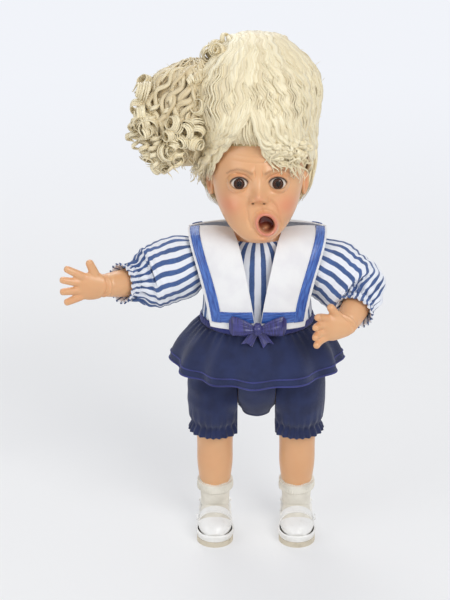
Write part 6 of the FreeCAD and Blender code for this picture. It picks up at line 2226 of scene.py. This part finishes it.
@dataclass
class Bow:
    """Satin bow at the point of the collar: two loops, a knot and two tails. Sizes in millimetres."""

    stance: Stance
    wardrobe: Wardrobe
    middle: Point = (0.0, -47.5, 209.2)
    half_wide: float = 23.5
    half_high: float = 8.0
    thick: float = 3.6
    knot: float = 4.2
    tail: float = 14.0

    def loop(self, way: float) -> Patch:
        """Puffed loop: an oval section that opens from the knot, with pleats that run out from it.

        Args:
            way: side of the bow.

        Returns:
            The closed patch.
        """
        t, s = shares(60)[:, None], circle(96)
        start = self.knot - 1.2
        x = start + (self.half_wide - start) * t
        path = np.array(self.middle) + xyz(way * x, self.thick * 0.5 * t ** 2 + 0.8 * t ** 4,
                                           0.1 * x * t + 0.6 * np.sin(3 * t))
        high = self.half_high * (0.30 + 0.72 * np.sin(math.pi * 0.5 * t ** 0.8) ** 1.3)
        high = high * np.sqrt(np.clip((1.02 - t) / 0.16, 0.0, 1.0)) ** 0.9
        deep = self.thick * (0.55 + 0.55 * np.sin(math.pi * t ** 0.9)) * np.sqrt(np.clip((1.01 - t) / 0.2, 0, 1))
        pleat = 1.0 + 0.16 * (1.0 - t) ** 0.8 * np.cos(9 * s + 0.6)
        dent = 1.0 - 0.30 * bell(np.cos(s), 0.0, 0.35) * (np.sin(s) < 0) * np.exp(-(t - 0.25) ** 2 / 0.05)
        up = np.array([0.0, 0.12, 1.0])
        side = unit(np.cross(np.array([way, 0.0, 0.0]), up))
        points = (path + up * (high * np.sin(s) * pleat)[..., None]
                  + side * (deep * np.cos(s) * pleat * dent)[..., None])
        return Patch(close_rows(points), uv=xyz(np.linspace(0, 0.02, 62)[:, None], np.arange(97) / 96 * 0.03))

    def knot_patch(self) -> Patch:
        """Knot: a rounded cushion with pleats across it."""
        t, s = np.linspace(0.02, math.pi - 0.02, 34)[:, None], circle(64)[None]
        pleat = 1.0 + 0.07 * np.cos(7 * t + 0.5 * np.sin(s))
        points = np.array(self.middle) + xyz(
            self.knot * 0.92 * np.sin(t) ** 0.7 * np.cos(s) * pleat,
            -self.thick * 1.15 * np.sin(t) ** 0.8 * np.sin(s) * pleat, self.knot * 1.25 * -np.cos(t))
        return Patch(close_rows(points), flip=True)

    def tail_patch(self, way: float) -> Patch:
        """Tail: a folded strip that widens and ends in a notch.

        Args:
            way: side of the bow.

        Returns:
            The closed patch.
        """
        t, s = shares(60)[:, None], np.linspace(-1.0, 1.0, 26)
        reach = self.half_high * np.interp(t, [0.0, 0.25, 0.6, 1.0], [0.30, 0.42, 0.55, 0.66])
        notch = 3.2 * (1.0 - np.abs(s)) * t ** 6
        start = np.array(self.middle) + np.array([way * self.knot * 0.3, self.thick * 0.55, -self.knot * 0.6])
        points = start + xyz(way * self.tail * 0.55 * t + s * reach * 0.85,
                             0.9 * np.sin(s * 2.4 + way) * (0.4 + 0.6 * t) + 0.7 * np.sin(4.0 * t),
                             -self.tail * 0.95 * t + way * s * reach * 0.3 + notch)
        return sheet_wall(points, -0.3, 0.3, xyz(s * 0.004, t * 0.014), flip=True)

    def build(self) -> None:
        """Make the bow's pieces."""
        pieces = [(f"bow_{side.word}_satin_loop", f"bow_{side.word}_loop", self.loop(side.way)) for side in Side]
        pieces.append(("bow_satin_knot", "bow_knot", self.knot_patch()))
        pieces.append(("bow_satin_tails", "bow_tails", self.tail_patch(-1.0), self.tail_patch(1.0)))
        for name, node, *patches in pieces:
            Piece(name, self.stance, *patches).build(self.wardrobe.dark_satin, "torso", "navy_satin", node)


# Legs and shoes


@dataclass
class Leg:
    """One leg with its turned-down sock and its strap shoe. Sizes in millimetres."""

    stance: Stance
    wardrobe: Wardrobe
    side: Side
    centre: float = 35.2
    sock_top: float = 47.5
    sock_fold: float = 37.0
    sock_radius: float = 13.2
    ribs: int = 44
    sole_thick: float = 4.6
    sole_toe: float = 15.5
    sole_heel: float = 12.5
    welt_high: float = 10.5
    welt_rows: tuple[Point, ...] = (
        (0.0, 2.4, -0.5), (0.0, 0.9, -0.2), (0.02, 0.35, 0.35), (0.12, 0.3, 1.1), (0.45, 0.0, 2.6),
        (0.80, -0.3, 4.4), (1.0, -0.15, 5.6), (1.0, 0.6, 6.3), (1.0, 1.8, 6.2))

    def sock_fold_patch(self) -> Patch:
        """Turned-down top of the sock: a ribbed band whose ribs are size * cos(n a), flared a little."""
        v, a = shares(40)[:, None], circle(self.ribs * 6)[None]
        height = self.sock_fold + (self.sock_top - self.sock_fold) * v + 0.25 * np.cos(5 * a)
        radius = self.sock_radius + 1.5 * np.sin(math.pi * v) ** 0.5 + 0.9 * (1 - v)
        radius = radius + 0.38 * np.cos(self.ribs * a) + 0.3 * np.cos(7 * a + 1.0)
        points = xyz(self.side.way * self.centre + radius * np.cos(a), radius * 1.02 * np.sin(a) + 0.4, height)
        return double_wall(points, 2.0, even_map(points, 0.09, 0.011))

    def welt(self) -> Patch:
        """Welt that joins the shoe to its sole: from the sole's outline up to the shoe's own outline.

        The sole's outline is two arcs joined by straight lines. The shoe's outline is the furthest point of the
        moulding in each direction at the welt's height.
        """
        low, high = (np.array(corner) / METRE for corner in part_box(f"{self.side.word}_sole"))
        middle = ((low + high) / 2)[:2]
        arc = np.linspace(0.0, math.pi, 60)
        across, along = np.cos(arc), np.sin(arc)
        toe = xyz(self.sole_toe * across, low[1] + self.sole_toe * (1.0 - along), 0.0)
        heel = xyz(-self.sole_heel * across, high[1] - self.sole_heel * (1.0 - along), 0.0)
        ring = np.concatenate([toe, heel, toe[:1]]) + np.array([middle[0], 0.0, 0.0])
        ring = spread(ring, 181)[:-1, :2]
        shape = mesh_rows(bpy.data.objects[f"{self.side.word}_shoe"].data, "co") / METRE
        near = shape[np.abs(shape[:, 2] - self.welt_high) < 1.6][:, :2] - middle
        aim = np.arctan2(*(ring - middle).T[::-1])
        turn = np.arctan2(near[:, 1], near[:, 0]) - aim[:, None]
        close = np.abs((turn + math.pi) % TAU - math.pi) < 0.17
        reach = np.max(np.where(close, np.linalg.norm(near, axis=1), 0.0), axis=1)
        soft = sum(np.roll(reach, step) for step in range(-3, 4)) / 7.0
        top = middle + xyz(np.cos(aim), np.sin(aim)) * soft[:, None]
        inward = unit(middle - ring)
        points = np.stack([np.pad(ring + (top - ring) * share + inward * inset, ((0, 0), (0, 1)),
                                  constant_values=self.sole_thick + rise) for share, inset, rise in self.welt_rows],
                          axis=1)
        smooth = spline(points, 30).transpose(1, 0, 2)
        return Patch(smooth - np.array(self.stance.origin) / METRE, uv=even_map(smooth, 0.14, 0.01))

    def build(self) -> None:
        """Make the sock's fold and dress the leg's nodes."""
        word, wear = self.side.word, self.wardrobe
        Piece(f"{word}_sock_fold", self.stance, self.sock_fold_patch()).build(
            wear.knit, f"{word}_leg", "sock_knit")
        Piece(f"{word}_shoe_welt", self.stance, self.welt()).build(wear.shoe, f"{word}_leg", "shoe_vinyl")
        for part, material in (("leg", wear.skin), ("sock", wear.knit), ("shoe", wear.shoe),
                               ("strap", wear.shoe), ("sole", wear.sole), ("shoe_button", wear.button)):
            dress(f"{word}_{part}", material)


# Camera, light and floor


@dataclass
class Studio:
    """Plain floor, soft light and the camera at the photograph's angle. Sizes in metres."""

    aim: Point = (0.0, 0.0, 0.212)
    elevation: float = 24.0
    distance: float = 1.7
    view_height: float = 0.50
    near_floor: float = 0.35
    far_floor: float = 1.3
    half_floor: float = 6.0
    daylight: tuple[float, float, float, float] = (0.93, 0.95, 1.0, 1.0)
    lamps: tuple = (("key", (0.75, -1.15, 1.35), 0.9, 15.0), ("fill", (-1.25, -0.75, 0.75), 1.1, 5.5),
                    ("back", (-0.3, 1.2, 1.3), 0.9, 8.0))

    def build(self) -> None:
        """Make the floor, the lamps, the world and the camera."""
        bpy.context.scene.view_settings.view_transform = "Standard"
        self._floor()
        self._world()
        for lamp in self.lamps:
            self._lamp(*lamp)
        camera = bpy.data.cameras.new("camera")
        camera.sensor_fit = "VERTICAL"
        camera.sensor_height = 36.0
        camera.lens = 36.0 * self.distance / self.view_height
        holder = show("camera", camera)
        tilt = math.radians(self.elevation)
        away = np.array([0.0, -math.cos(tilt), math.sin(tilt)]) * self.distance
        holder.location = np.array(self.aim) + away
        holder.rotation_euler = (math.pi / 2 - tilt, 0.0, 0.0)
        bpy.context.scene.camera = holder

    def _floor(self) -> None:
        """Large pale floor under the doll."""
        graph = Graph("floor_paper")
        graph.finish(graph.mix(graph.noise(graph.place(), 3.0), (240, 239, 236), (234, 233, 230)), 0.8)
        where = graph.node("ShaderNodeTexCoord").outputs["Object"]
        reach = graph.node("ShaderNodeVectorMath", {0: where}, operation="LENGTH").outputs["Value"]
        far = graph.ramp(reach, self.near_floor, self.far_floor)
        seen = graph.node("ShaderNodeLightPath").outputs["Is Camera Ray"]
        share = graph.maths("MULTIPLY", seen, graph.maths("ADD", graph.maths("MULTIPLY", far, 0.6), 0.4))
        glow = graph.node("ShaderNodeEmission", {"Color": self.daylight, "Strength": 0.95})
        mesh = bpy.data.meshes.new("floor")
        half = self.half_floor
        mesh.from_pydata([(-half, -half, 0.0), (half, -half, 0.0), (half, half, 0.0), (-half, half, 0.0)], [],
                         [(0, 1, 2, 3)])
        mesh.materials.append(graph.blend(share, graph.shader, glow))
        show("floor", mesh)

    def _world(self) -> None:
        """Plain pale surroundings, brighter to the camera than to the doll."""
        world = bpy.data.worlds.new("studio")
        world.use_nodes = True
        tree = world.node_tree
        tree.nodes.clear()
        out, back, rays, seen, strength = (tree.nodes.new(f"ShaderNode{kind}") for kind in (
            "OutputWorld", "Background", "LightPath", "Math", "Math"))
        back.inputs[0].default_value = self.daylight
        seen.operation, strength.operation = "MAXIMUM", "MULTIPLY_ADD"
        strength.inputs[1].default_value, strength.inputs[2].default_value = 0.45, 0.50
        for source, target in ((rays.outputs["Is Camera Ray"], seen.inputs[0]),
                               (rays.outputs["Is Glossy Ray"], seen.inputs[1]),
                               (seen.outputs[0], strength.inputs[0]), (strength.outputs[0], back.inputs[1]),
                               (back.outputs[0], out.inputs[0])):
            tree.links.new(source, target)
        bpy.context.scene.world = world

    def _lamp(self, name: str, place: Point, size: float, power: float) -> None:
        """One square soft lamp that points at the doll.

        Args:
            name: name of the lamp.
            place: where it stands.
            size: side of the square.
            power: power in watts.
        """
        lamp = bpy.data.lights.new(name, "AREA")
        lamp.size, lamp.energy = size, power
        holder = show(name, lamp)
        holder.location = place
        x, y, z = np.array(self.aim) - np.array(place)
        holder.rotation_euler = (math.atan2(math.hypot(x, y), -z), 0.0, math.atan2(y, x) - math.pi / 2)


def main() -> None:
    """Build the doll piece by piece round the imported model."""
    logging.basicConfig(level=logging.INFO, format="%(name)s: %(message)s")
    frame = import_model()
    neck = next(joint["pos_m"] for joint in frame["joints"] if joint["name"] == "neck_turn")
    stance = Stance((neck[0], neck[1], 0.0))
    wardrobe = Wardrobe.stitched()
    Studio().build()
    head = Head(stance, wardrobe)
    head.build()
    Hair(stance, wardrobe, head).build()
    dress("torso", wardrobe.skin)
    Dress(stance, wardrobe).build()
    Collar(stance, wardrobe).build()
    Bow(stance, wardrobe).build()
    for side in Side:
        Arm(stance, wardrobe, side).build()
        Leg(stance, wardrobe, side).build()


if __name__ == "__main__":
    main()
